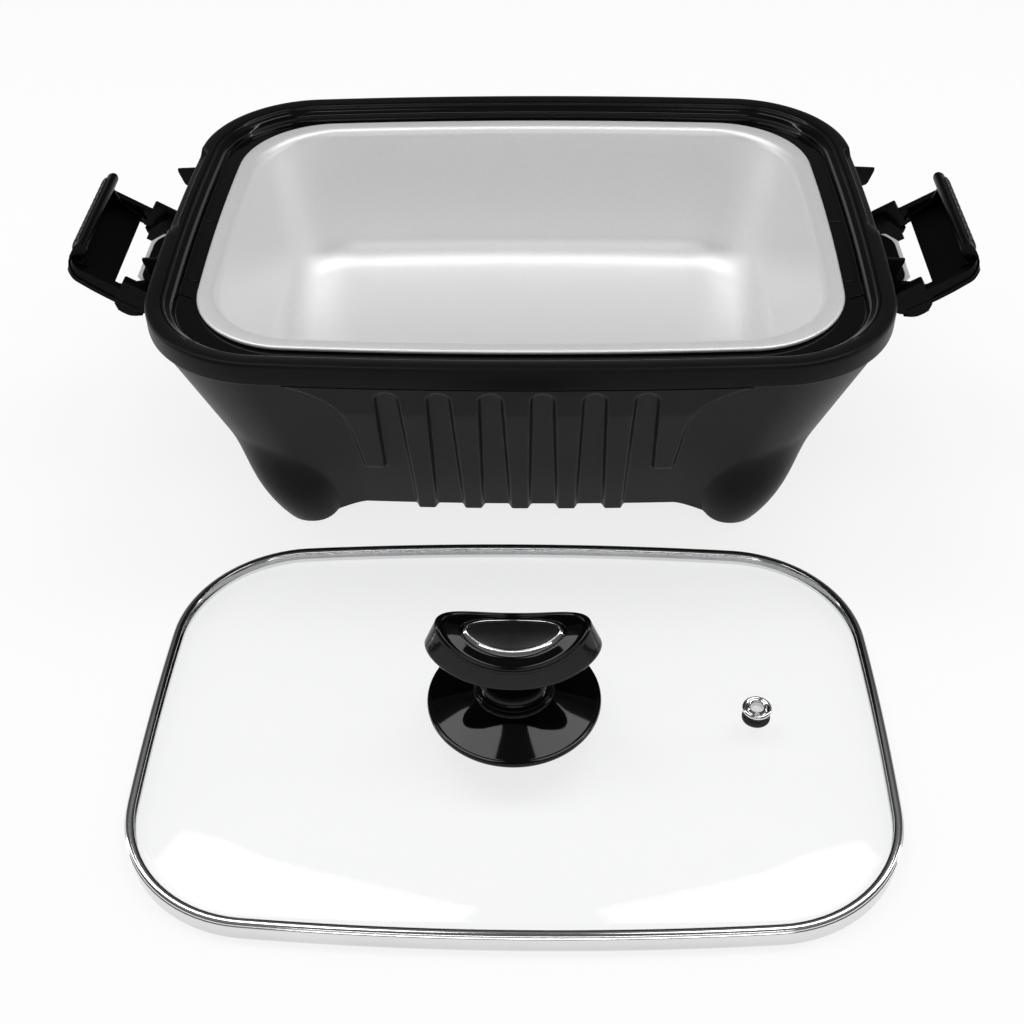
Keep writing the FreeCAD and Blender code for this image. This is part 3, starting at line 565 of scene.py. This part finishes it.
def footBulge(point, normal, z):
    fx, fy = housing["foot"]
    fx += housing["footLean"] * z
    centre = Vector((math.copysign(fx, point.x), math.copysign(fy, point.y - pot["y"]) + pot["y"]))
    radius = footRadius(z)
    away = point - centre
    reach = away.dot(normal)
    inside = reach ** 2 - away.length_squared + radius ** 2
    root = math.sqrt(inside) if inside >= 0 else -math.sqrt(-inside)
    out = root - reach
    blend = housing["blendReach"]
    near = max(blend - abs(out), 0) / blend
    return max(out, 0) + near * near * blend / 4 if out > -blend else 0.0


def skirtDrop(point):
    fx, fy = housing["foot"]
    gap = Vector((abs(point.x) - fx, abs(point.y - pot["y"]) - fy)).length
    share = min(max((housing["skirtReach"] - gap) / housing["skirtBlend"], 0), 1)
    return housing["skirtDrop"] * share ** housing["skirtCurve"]


# Rows of the wall from the rim down, outside and inside
def wallRows():
    counts, fine, rows = housing["counts"], housing["fine"], housing["rows"]
    baseLow, bandLow, fade = housing["baseLow"], housing["bandLow"], housing["footFade"]
    lows = []
    for point in (Vector(p) for p in barrel(*housing["base"], pot, counts, fine)):
        low = baseLow - skirtDrop(point)
        if point.y < pot["y"] and abs(point.x) < housing["barsHalf"]:
            low -= housing["barDrop"] * apronShare(point.x, baseLow)
        lows.append(low)
    outer, inner = [], []
    for level in (1 - i / rows for i in range(rows + 1)):
        rowOut, rowIn = [], []
        nominal = baseLow + (bandLow - baseLow) * level
        line = [Vector(p) for p in barrel(*wallSize(nominal), pot, counts, fine)]
        for i, point in enumerate(line):
            run = line[(i + 1) % len(line)] - line[i - 1]
            normal = Vector((run.y, -run.x)).normalized()
            z = lows[i] + (bandLow - lows[i]) * level
            out = footBulge(point, normal, z) * step(*fade, z) if z < fade[0] else 0.0
            if normal.y < -0.6 and abs(point.x) < housing["apronHalf"]:
                out = max(out, between(housing["apron"], z) * apronShare(point.x, z))
            spot = point + normal * out
            rowOut.append((spot.x, spot.y, z))
            # the inside follows the feet only
            spot = point + normal * (out * step(*fade, z) * (abs(point.x) > 90) - housing["wall"])
            rowIn.append((spot.x, spot.y, z))
        outer.append(rowOut)
        inner.append(rowIn)
    return outer, inner


# The rim's outside, top and inside; along part of each side its shoulder drops to a ledge
def rimRings():
    edge, top, width = housing["edge"], housing["rimTop"], housing["faceWidth"]
    low = housing["bandLow"]
    topLine = [(0.6, low), (0.15, low + 0.5), (0, low + 1.3)]
    ledgeLine = topLine + [(0, top - 4.2), (0.5, top - 3.2), (1.2, top - 2.9), (3.9, top - 2.8),
                           (4.3, top - 2.5), (4.5, top - 0.9), (5.2, top)]
    for t in (math.pi / 2 * i / 6 for i in range(7)):
        topLine.append((edge * (1 - math.cos(t)), top - edge * (1 - math.sin(t))))
    topLine += [(width - 0.6, top), (width - 0.15, top - 0.2), (width, top - 0.8),
                (width, low - 0.1), (width - 2.9, low - 0.6)]
    first, last = (pot["y"] + y for y in housing["ledge"])
    rings = []
    for k, (inset, z) in enumerate(topLine):
        ring = barrelRing(housing["rim"], inset, z, pot, housing["counts"], fine=housing["fine"])
        if k < len(ledgeLine):
            lowInset, lowZ = ledgeLine[k]
            for i, (x, y, z) in enumerate(ring):
                if abs(x) > housing["ledgeFrom"] and first < y < last:
                    ring[i] = (x - math.copysign(lowInset - inset, x), y, lowZ)
        rings.append(ring)
    return rings


def buildHousing():
    outer, inner = wallRows()
    rings = rimRings() + inner[1:] + list(reversed(outer))
    return skin("potHousing", rings, "housing", sharp=50)


def buildFootStubs():
    line = rounded([(0, 3.0), (11.6, 3.0, 1.2), (13.2, 4.6, 3), (15.2, 9, 3), (16.6, 16, 4),
                    (15.5, 24, 3), (0, 24)], 0, closed=False)
    fx, fy = housing["foot"]
    spots = [(sx * fx, sy * fy + pot["y"]) for sx in (-1, 1) for sy in (-1, 1)]
    return [lathe("footStub", line, "housing", spot, 64, False) for spot in spots]


# Thin webs under the rim, beside the handles
def buildFins():
    reach, top, half = housing["finReach"], housing["finTop"], housing["finHalf"]
    profile = rounded([(178.5, 104), (184, 104), (reach - 3, 109.3, 2), (reach, top - 1.8, 0.5),
                       (reach, top, 0.5), (187.6, top + 0.8, 0.5), (187.6, 123.4), (185, 123.4)], 0)
    fins = []
    for side in (-1, 1):
        line = [(side * x, z) for x, z in profile]
        for y in (pot["y"] + place for place in housing["fins"]):
            fins.append(settle(prism("fin", line, y - half, y + half, "housing"), 0.35, 2))
    return fins


# Opening for the power inlet in the back wall
def cutInlet(piece):
    half, low, high = housing["inlet"]
    start, depth = housing["inletBack"]
    y = pot["y"] + start
    line = rounded([(-half, low), (half, low), (half, high), (-half, high)], 1.2)
    tool = prism("inletTool", line, y, y + depth, "housing")
    cutter = piece.modifiers.new("Inlet", "BOOLEAN")
    cutter.operation = "DIFFERENCE"
    cutter.solver = "EXACT"
    cutter.object = tool
    settle(piece)
    bpy.data.objects.remove(tool)
    return piece


shell = joined("potHousing", [cutInlet(buildHousing()), *buildFootStubs(), *buildFins()])
settled(shell, "base", "housing_plastic", "outer_housing")
print("housing built", len(shell.data.vertices))


# glossy seat ring inside the rim
ringLook = {"size": (182, 136, 58), "gap": 0.15, "top": 135.0, "seat": 127.6, "low": 122.4,
            "hole": (161.5, 116.5, 50), "lip": 2.8, "counts": (16, 24, 28)}


def buildRing():
    gap, seat, low, lip = (ringLook[k] for k in ("gap", "seat", "low", "lip"))
    counts = ringLook["counts"]
    # inset from the rim's face, then height
    outerLine = rounded([(gap, low), (gap, ringLook["top"], 0.3), (1.6, 134.7, 0.5),
                         (1.9, 133.4, 0.3), (4.3, 132.4, 0.5), (5.7, 130.6, 0.6),
                         (6.5, seat, 0.8), (8.0, seat, 0)], 0.3, 3, closed=False)
    holeLine = [(-9, seat), (-0.9, seat), (-0.3, seat - 0.15), (0, seat - 0.6), (0, low + 2.9),
                (-17, low + lip), (-17, low)]
    rings = [barrelRing(ringLook["size"], inset, z, pot, counts) for inset, z in outerLine]
    rings += [barrelRing(ringLook["hole"], inset, z, pot, counts, 0.3) for inset, z in holeLine]
    return skin("seatRing", rings, "ring")


ringPads = {
    "outer": 173.2, "inner": 163.4, "front": -55.2, "back": 88, "low": 127.4, "high": 128.1,
    "seam": 4.0, "seamHalf": 0.4, "endBend": 8, "seamBend": 0.3,
    # middle of each small crescent, its half length, lean, bow and width
    "crescent": (171.48, -66.5), "crescentHalf": 5.184, "lean": 2.6, "bow": 1.6, "wide": 2.0,
}


def flat(a, b, h):
    return (a, b + pot["y"], h)


def crescentLine(side, count=12):
    x, y = ringPads["crescent"]
    half, lean, bow, wide = (ringPads[k] for k in ("crescentHalf", "lean", "bow", "wide"))
    inner, outer = [], []
    for t in (-1 + 2 * i / count for i in range(count + 1)):
        px, py = side * (x - half * t), y - lean * t - bow * t * t
        inner.append((px, py))
        outer.append((px, py - wide * math.sqrt(max(1 - t * t, 0)) - 0.15))
    return inner + list(reversed(outer))


# Two pads with round ends on each side, a seam between them, and a crescent in front
def buildPads():
    low, high, seam, half = (ringPads[k] for k in ("low", "high", "seam", "seamHalf"))
    end, flush = ringPads["endBend"], ringPads["seamBend"]
    parts = []
    for side in (-1, 1):
        inner, outer = side * ringPads["inner"], side * ringPads["outer"]
        for near, far, nearBend, farBend in ((ringPads["front"], seam - half, end, flush),
                                             (seam + half, ringPads["back"], flush, end)):
            line = rounded([(inner, near), (outer, near, nearBend), (outer, far, farBend),
                            (inner, far)], 0, 6)
            parts.append(settle(prism("pad", line, low, high, "ring", flat), 0.3, 2))
        crescent = prism("crescent", crescentLine(side), low, high, "ring", flat)
        parts.append(settle(crescent, 0.22, 2))
    return parts


settled(joined("seatRing", [buildRing(), *buildPads()]), "base", "ring_plastic", "rim_ring")
print("seat ring built")


# removable inner pot
potLook = {"top": (156.4, 110.8, 47.8, 128.0), "low": (143.4, 96.6, 45.8, 64.0), "floor": 51.5,
           "wall": 2.2, "bend": 15, "flange": (166, 121, 53), "flangeTop": 130.1, "mouth": 5.0,
           "mouthLow": 123.2, "outsideLow": 125, "bendSteps": 12, "counts": (12, 20, 18)}


def potWall(z):
    top, low = potLook["top"], potLook["low"]
    share = (z - low[3]) / (top[3] - low[3])
    return [q + (p - q) * share for p, q in zip(top[:3], low[:3])]


def potRing(z, inset):
    size = potWall(min(z, potLook["top"][3]))
    return barrelRing(size, inset, z, pot, potLook["counts"], 0.9, 5)


def buildPot():
    counts, steps, bend = potLook["counts"], potLook["bendSteps"], potLook["bend"]
    floor, wall, top, mouth = (potLook[k] for k in ("floor", "wall", "flangeTop", "mouth"))
    turns = [math.pi / 2 * i / steps for i in range(steps + 1)]
    # inside, from the middle of the floor up to the mouth
    rings = [potRing(floor, inset) for inset in (88, 70, 45, 26, 18)]
    rings += [potRing(floor + bend * (1 - math.cos(t)), bend * (1 - math.sin(t))) for t in turns]
    rise = potLook["mouthLow"] - floor - bend
    rings += [potRing(floor + bend + rise * k / 9, 0) for k in range(1, 10)]
    size = potWall(potLook["mouthLow"] + 0.3)
    for t in (math.pi / 2 * i / 10 for i in range(1, 11)):
        z = top - 0.15 - (mouth + 1.4) * (1 - math.sin(t))
        rings.append(barrelRing(size, -mouth * (1 - math.cos(t)), z, pot, counts))
    for inset, drop in ((1.4, 0), (0.5, 0.15), (0.1, 0.6), (0, 1.1), (0.1, 1.6), (0.5, 2.05),
                        (1.3, 2.2)):
        rings.append(barrelRing(potLook["flange"], inset, top - drop, pot, counts))
    # outside, back down to the underside of the floor
    rings += [potRing(top - 2.2, -wall - 1.2), potRing(top - 3.4, -wall)]
    rise = potLook["outsideLow"] - floor - bend
    rings += [potRing(floor + bend + rise * k / 9, -wall) for k in range(8, -1, -1)]
    outer = bend + wall
    for t in reversed(turns[:-1]):
        rings.append(potRing(floor - wall + outer * (1 - math.cos(t)),
                             outer * (1 - math.sin(t)) - wall))
    rings += [potRing(floor - wall, 45), potRing(floor - wall, 88)]
    return skin("innerPot", rings, "pot", closed=False, sharp=60)


settled(buildPot(), "pot", "pot_aluminium", "inner_pot")
print("inner pot built")


# side handles, drawn about their hinge line: out from the pot, along the pin, up
handle = {
    "hinge": (203, 107), "tilt": 31, "armOut": 43, "armIn": 37.6, "far": 42.4, "near": 36,
    "top": 11.6, "armTop": 1.6, "lip": 0.8, "lipHeight": 2.7, "lipWidth": 1.6, "lipTuck": 1.8,
    "bends": (9, 2.5), "wall": (-34.5, 42.6), "knuckle": 7.5,
    "ribs": 4, "ribPitch": 3.4, "ribWidth": 0.7,
    "insert": (-29.5, 39), "insertHeight": (0.9, 9.9), "ridges": 11, "ridgePitch": 6.2,
    # half length along the grip and up it, middle height, half width, how far it stands out
    "ridge": (2.8, 3.6, 5.6, 1.95, 1.65), "ridgeTurn": (0.82, -0.57),
    "lowLine": [(-8, -7.5), (12, -7.5), (26, -6.7), (36, -5.4), (42.4, -3.0)],
}


def swing(piece, side):
    turn = Matrix.Rotation(math.radians(-handle["tilt"]), 4, "Y")
    x, z = handle["hinge"]
    piece.data.transform(Matrix.Translation(Vector((x, pot["y"], z)) * scale) @ turn)
    if side == "left":
        piece.data.transform(Matrix.Scale(-1, 4, (1, 0, 0)))
        piece.data.flip_normals()
    return piece


# Plan line of the frame, from the front knuckle round the grip to the back knuckle
def planLine(inset, steps=10):
    out, far = handle["armOut"] - inset, handle["far"] - inset
    line = [(u, -out) for u in (-1, 8, 16, 24)]
    for sign, bend in zip((-1, 1), handle["bends"]):
        r = max(bend - inset, 0.7)
        arc = [(far - r + r * math.sin(t), sign * (out - r + r * math.cos(t)))
               for t in (math.pi / 2 * i / steps for i in range(steps + 1))]
        line += arc if sign < 0 else list(reversed(arc))
        if sign < 0:
            line += [(far, y) for y in (-20, 0, 20)]
    return line + [(u, out) for u in (24, 16, 8, -1)]


# Part of the frame between two plan lines, standing on its sloping lower edge
def frameRun(outer, inner, top, side):
    rings = []
    for (a, b), (c, d) in zip(outer, inner):
        lowA, lowC = (between(handle["lowLine"], u) for u in (a, c))
        rings.append([(min(a, handle["far"] - handle["lipTuck"]), b, lowA), (a, b, top(lowA)),
                      (c, d, top(lowC)), (c, d, lowC)])
    return settle(swing(skin("run", rings, "handle", closed=False), side), 0.5, 3)


def innerLine():
    line = planLine(handle["armOut"] - handle["armIn"])
    return [(min(u, handle["near"]), y) for u, y in line]


def wallLine(grow=0.0):
    far, near, top = handle["far"], handle["near"], handle["top"] + grow
    return rounded([(near - grow, -5.6), (far - 1.5, -3), (far + grow, 1.2, 1),
                    (far + grow - 0.2, top - 2.4, 2), (far - 2.4, top, 2), (near + 1.8, top, 2),
                    (near - grow, top - 2.4, 2)], 0.3, 4)


def buildHandle(side):
    parts = [frameRun(planLine(handle["lip"]), innerLine(), lambda low: handle["armTop"], side),
             frameRun(planLine(0), planLine(handle["lipWidth"]),
                      lambda low: low + handle["lipHeight"], side)]
    armOut, armIn, near = handle["armOut"], handle["armIn"], handle["near"]

    def add(line, low, high, width, segments=2):
        part = swing(prism("part", line, low, high, "handle"), side)
        parts.append(settle(part, width, segments))

    wallFront, wallBack = handle["wall"]
    add(wallLine(), wallFront + 0.4, wallBack, 1.1, 4)
    add(wallLine(0.3), wallFront, wallFront + 4.2, 0.8, 3)
    # low block that fills the front corner inside the frame
    add([(near - 2.2, -4), (near + 1, -4), (near + 1, 3.2), (near - 2.2, 3.2)],
        -armIn - 0.5, -armIn + 2.2, 0.4)
    add([(16, -5.9), (16, -3.8), (near + 1, -3.8), (near + 1.6, -5.9)],
        -armIn - 0.5, armIn + 0.5, 0.3)
    for sign in (-1, 1):
        low, high = sorted((sign * (armIn - 0.5), sign * (armOut - 0.35)))
        radius = handle["knuckle"]
        knuckle = [(radius * math.cos(t), radius * math.sin(t)) for t in (
            math.radians(-90 - 15 * i) for i in range(11))]
        block = [(13.5, -radius), (13.5, 1.5), *rounded([(12.8, 1.5), (12.8, 7.3, 1), (-1.5, 7.3, 1.5),
                 (-4.4, 5.6)], 0, 3, closed=False), *reversed(knuckle)]
        add(block, low, high, 0.45)
        for i in range(handle["ribs"]):
            u = 0.6 + i * handle["ribPitch"]
            end = u + handle["ribWidth"]
            add([(u, 6.8), (end, 6.8), (end, 7.7), (u, 7.7)], low + 0.5, high - 0.5, 0.15)
        low, high = sorted((sign * (armIn - 1.8), sign * (armIn + 0.2)))
        rib = [(13, -3.8), (36.2, -3.8), (36.2, 5.5), (33, 2.6), (30, 0.6), (25, -1), (20, -1.8),
               (16, -2.1)]
        add(rib, low, high, 0.35)
    piece = joined(side + "Handle", parts)
    return settled(piece, side + "_handle", "handle_plastic", side + "_handle_frame")


# Soft insert on the outside of the grip: a backing with slanting rounded ridges
def buildInsert(side):
    front, back = handle["insert"]
    low, high = handle["insertHeight"]
    far = handle["far"]
    line = rounded([(front, low), (back, low), (back, high), (front, high)], 3.2, 6)
    backing = prism("backing", line, far - 1.0, far - 0.05, "grip", lambda a, b, h: (h, a, b))
    parts = [settle(swing(backing, side), 0.4, 3)]
    halfLong, halfHigh, height, halfWide, stand = handle["ridge"]
    turnY, turnV = handle["ridgeTurn"]
    count, pitch = handle["ridges"], handle["ridgePitch"]
    for i in range(count):
        middle = (front + back) / 2 + (i - (count - 1) / 2) * pitch
        rings = []
        for t in (-0.97 + 1.94 * k / 16 for k in range(17)):
            fade = math.sqrt(1 - t * t)
            ring = []
            for turn in (math.tau * j / 10 for j in range(10)):
                across = halfWide * fade * math.cos(turn)
                ring.append((far - 0.3 + stand * fade * math.sin(turn),
                             middle + halfLong * t + across * turnY,
                             height + halfHigh * t + across * turnV))
            rings.append(ring)
        parts.append(settle(swing(skin("ridge", rings, "grip", closed=False), side)))
    piece = joined(side + "GripInsert", parts)
    return settled(piece, side + "_handle", "grip_soft", side + "_grip_insert")


# Dark web that covers the root of the stop plate, cut back in a curve
def buildWeb(side):
    sign = -1 if side == "left" else 1
    line = rounded([(186, -28), (203, -28, 2), (207.2, -19, 3), (207.2, 16, 5), (202, 23, 6),
                    (197, 26, 2), (186, 26)], 0, 5)
    line = [(sign * x, y) for x, y in line]
    return settle(prism("web", line, 107.85, 109.2, "handle", flat), 0.4, 2)


# Rounded stops under the arms, part of the bracket
def buildStops(side):
    stops = []
    for sign in (-1, 1):
        low, high = sorted((sign * (handle["armIn"] - 2), sign * (handle["armOut"] - 0.5)))
        line = rounded([(-4, -8), (-0.5, -10.6, 2), (2.4, -11.8, 1.5), (8.4, -11.8, 2.5),
                        (12.5, -7.85, 1)], 0, 5)
        stops.append(settle(swing(prism("stop", line, low, high, "handle"), side), 0.5, 2))
    return stops


for side in ("left", "right"):
    buildHandle(side)
    buildInsert(side)
    for word, part, finish, slot in (("Bracket", "handle_bracket", "handle", "handle_plastic"),
                                     ("StopPlate", "stop_plate", "plate", "steel")):
        node = side + "_" + part
        piece = refined(side + word, node, finish, 0.3)
        if word == "Bracket":
            piece = joined(side + word, [piece, buildWeb(side), *buildStops(side)])
        settled(piece, "base", slot, node)
print("handles built")


# lid: steel band, domed glass, knob and vent
lidLook = {"size": (173.4, 119.4, 65), "height": 10.2, "steel": 0.9, "glassLow": 5.65,
           "glass": 4.0, "rise": 5.2, "crownReach": 90, "crownCurve": 2.4,
           # middle of the bead on the band, and its half width and height
           "bead": (2.35, 9.0, 2.05, 1.2), "counts": (14, 22, 28)}


def buildBand():
    line = [(0.25, 0), (0.7, 0), (0.9, 0.3), (0.9, 3.2), (1.0, 3.5), (4.2, 3.6), (4.5, 3.9),
            (4.5, 4.6), (4.3, 5.4), (1.0, 5.5), (0.95, 9.0), (3.9, 9.1), (4.3, 9.2)]
    # wide bead on top, a fine groove, then the skirt
    inset, z, wide, high = lidLook["bead"]
    for t in (math.radians(8 + 164 * i / 12) for i in range(13)):
        line.append((inset + wide * math.cos(t), z + high * math.sin(t)))
    line += [(0.34, 8.9), (0.6, 8.68), (0.34, 8.45), (0.06, 8.3), (0, 8.0), (0, 1.2), (0.04, 0.4)]
    return hoop("lidBand", lidLook["size"], line, lid, "band")


settled(buildBand(), "lid", "polished_steel", "lid_rim_band")


def buildGlass():
    size, counts = lidLook["size"], lidLook["counts"]
    edge = lidLook["height"] - lidLook["steel"]

    def crown(inset):
        t = min(max((inset - 6) / lidLook["crownReach"], 0), 1)
        return edge + lidLook["rise"] * (1 - (1 - t) ** lidLook["crownCurve"])

    top, low = [], []
    for inset in (1.05, 3, 6, 8, 10, 12, 15, 18, 22, 27, 33, 40, 48, 57, 67, 78, 90, 103):
        z = crown(inset) - lidLook["glass"] if inset > 7 else lidLook["glassLow"]
        low.append(barrelRing(size, inset, z, lid, counts, least=12))
        top.append(barrelRing(size, inset, crown(inset) - 0.1, lid, counts, least=12))
    return skin("lidGlass", list(reversed(low)) + top, "glass", closed=False, sharp=60)


settled(buildGlass(), "lid", "lid_glass", "lid_glass")
print("lid glass and band built")


# knob: turned foot and neck, a saddle-shaped grip with a framed inlay
knob = {
    "spot": (0, -135), "foot": (15.3, 40.5, 20.4), "collar": 18.5, "neck": 15.0,
    "low": 48.6, "high": 65.0, "rise": 10.8, "crown": 9.0, "span": (42, 24),
    # half width and depth of the grip's tapered column at two heights
    "column": ((47.8, 20.4, 40), (29.6, 15.9, 84)),
    "inlay": (20.6, 9.2), "frame": 2.2, "groove": 2.6, "dish": -2.25, "steps": 112,
}


def columnAt(z):
    (w0, d0, z0), (w1, d1, z1) = knob["column"]
    share = (z - z0) / (z1 - z0)
    return w0 + (w1 - w0) * share, d0 + (d1 - d0) * share


def saddleAt(x, y, level, crown):
    reachX, reachY = knob["span"]
    return level + knob["rise"] * (x / reachX) ** 2 - crown * (y / reachY) ** 2


# Ring of the saddle: share of the column's oval, level and crown
def columnRing(share, level, crown):
    ring = []
    for t in (math.tau * i / knob["steps"] for i in range(knob["steps"])):
        z = level
        for _ in range(4):
            w, d = columnAt(z)
            x, y = share * w * math.cos(t), share * d * math.sin(t)
            z = saddleAt(x, y, level, crown)
        ring.append((x, y + knob["spot"][1], z))
    return ring


# Ring of the inlay's oval, level above the ridge; share draws it in toward the middle
def ovalRing(grow, level, share=1.0):
    w, d = ((half + grow) * share for half in knob["inlay"])
    ring = []
    for t in (math.tau * i / knob["steps"] for i in range(knob["steps"])):
        x, y = w * math.cos(t), d * math.sin(t)
        ring.append((x, y + knob["spot"][1], saddleAt(x, y, knob["high"] + level, knob["crown"])))
    return ring


def buildGrip():
    low, high, crown = knob["low"], knob["high"], knob["crown"]
    rings = [columnRing(share, low, 0.5) for share in (0.05, 0.3, 0.55, 0.75, 0.9, 0.97)]
    rings += [columnRing(0.99, low + 0.15, 0.5), columnRing(1.0, low + 0.7, 0.55)]
    for i in range(1, 10):
        t = i / 10
        rings.append(columnRing(1.0, low + 0.7 + (high - low - 1.6) * t, 0.5 + (crown - 0.5) * t))
    # rounded ridge, then down into the dish
    for share, drop in ((1.0, 0.9), (0.99, 0.4), (0.972, 0.08), (0.955, 0), (0.936, 0.1),
                        (0.915, 0.5), (0.895, 0.95), (0.87, 1.15), (0.84, 1.15)):
        rings.append(columnRing(share, high - drop, crown))
    gap, dish = knob["groove"], knob["dish"]
    for grow, level in ((gap + 1.6, -0.75), (gap + 0.7, -0.5), (gap + 0.2, -0.7), (gap, -1.2),
                        (gap - 0.05, -2.0), (gap - 0.4, dish), (0, dish), (-6, dish)):
        rings.append(ovalRing(grow, level))
    rings += [ovalRing(0, dish, share) for share in (0.45, 0.2, 0.02)]
    return skin("knobGrip", rings, "knob", closed=False, sharp=60)


def buildFrame():
    wide = knob["frame"]
    line = [(wide, -2.15), (wide, -1.5), (wide - 0.15, -1.15), (wide - 0.5, -0.75), (0.75, 0.15),
            (0.45, 0.32), (0.2, 0.36), (0.02, 0.25), (0.02, -2.15)]
    return skin("knobFrame", [ovalRing(grow, level) for grow, level in line], "chrome", sharp=50)


def buildInlay():
    rings = [ovalRing(-0.05, -2.1), ovalRing(-0.05, -0.6), ovalRing(-0.3, -0.28)]
    rings += [ovalRing(-0.3, -0.2, share) for share in (0.97, 0.85, 0.6, 0.3, 0.03)]
    return skin("knobInlay", rings, "inlay", closed=False, sharp=50)


def buildFoot():
    low, wide, under = knob["foot"]
    collar = knob["collar"]
    line = [(3, low), (13, low), (14, under), (wide - 1.2, under), (wide - 0.4, under + 0.35),
            (wide, under + 1.1), (wide, under + 1.9), (wide - 0.35, under + 2.7),
            (wide - 1.1, under + 3.1), (wide - 1.8, under + 3.05), (wide - 2.3, under + 3.2),
            (collar + 8, under + 6.3), (collar + 2.4, under + 8.0), (collar + 0.9, under + 8.5),
            (collar + 0.2, under + 8.7), (collar, under + 9.1), (collar - 0.1, under + 9.8),
            (collar - 0.5, under + 10.15), (collar - 1.0, under + 10.2), (3, under + 10.2)]
    return lathe("knobFoot", line, "knob", knob["spot"], 128)


def buildNeck():
    low, collar, neck = knob["foot"][2] + 10.2, knob["collar"], knob["neck"]
    line = [(3, low), (collar - 1.3, low), (collar - 0.8, low + 0.3), (collar - 0.6, low + 1.0),
            (collar - 0.8, low + 1.8), (collar - 1.5, low + 2.2), (collar - 2.2, low + 2.35),
            (collar - 2.9, low + 2.8), (neck + 0.1, low + 3.6), (neck - 0.3, low + 5),
            (neck - 0.4, low + 9), (neck - 0.1, low + 14), (neck + 0.4, low + 17.6),
            (3, low + 17.6)]
    return lathe("knobNeck", line, "knob", knob["spot"], 112)


for piece, slot, node in ((buildGrip(), "knob_gloss", "knob_grip"),
                          (buildFrame(), "knob_chrome", "knob_trim"),
                          (buildInlay(), "knob_inlay", "knob_inlay"),
                          (buildFoot(), "knob_gloss", "knob_base"),
                          (buildNeck(), "knob_gloss", "knob_neck")):
    settled(piece, "lid", slot, node)
print("knob built")


# steam vent: a rolled steel eyelet with its lower washer
vent = {"spot": (113.5, -133.5), "low": 7.6, "bore": 3.2, "tube": 4.5, "flange": 7.0,
        "seat": 13.6}


def buildEyelet():
    low, seat, bore, wide = vent["low"], vent["seat"], vent["bore"], vent["flange"]
    line = [(bore, low), (vent["tube"], low), (vent["tube"], seat), (wide - 0.5, seat),
            (wide - 0.1, seat + 0.3), (wide, seat + 0.8), (wide - 0.2, seat + 1.3),
            (wide - 0.7, seat + 1.7), (wide - 1.3, seat + 1.75), (wide - 1.8, seat + 1.5),
            (wide - 2.1, seat + 1.3), (wide - 2.35, seat + 1.5), (wide - 2.6, seat + 2.0),
            (wide - 2.9, seat + 2.2), (bore + 0.5, seat + 2.1), (bore + 0.15, seat + 1.8),
            (bore, seat + 1.3)]
    return lathe("ventEyelet", line, "band", vent["spot"], 72)


settled(buildEyelet(), "lid", "polished_steel", "vent_grommet")
print("vent built")


# remaining fixed pieces with softer edges
for name, node, finish, slot, width in (
        ("inletShroud", "inlet_shroud", "handle", "housing_plastic", 0.5),
        ("baseCover", "base_cover", "housing", "housing_plastic", 0.4)):
    settled(refined(name, node, finish, width), "base", slot, node)


# finishes of the pieces whose shape is kept
keptFinishes = {
    "heating_element": "element", "heating_plate": "cast", "heat_shield": "shield",
    "inlet_pin_left": "steel", "inlet_pin_right": "steel", "probe_sleeve": "steel",
    "knob_washer": "rubber", "knob_screw": "steel", "vent_washer": "rubber",
}
for i in range(1, 5):
    keptFinishes["foot_pad_%d" % i] = "rubber"
    keptFinishes["base_screw_%d" % i] = "steel"
    keptFinishes["plate_post_%d" % i] = "steel"
for side in ("left", "right"):
    keptFinishes[side + "_hinge_pin_front"] = "handle"
    keptFinishes[side + "_hinge_pin_back"] = "handle"
    keptFinishes[side + "_bracket_screw_front"] = "steel"
    keptFinishes[side + "_bracket_screw_back"] = "steel"
for name, finish in keptFinishes.items():
    nodes[name].data.materials.clear()
    nodes[name].data.materials.append(finishes[finish])
print("kept pieces finished", len(keptFinishes))
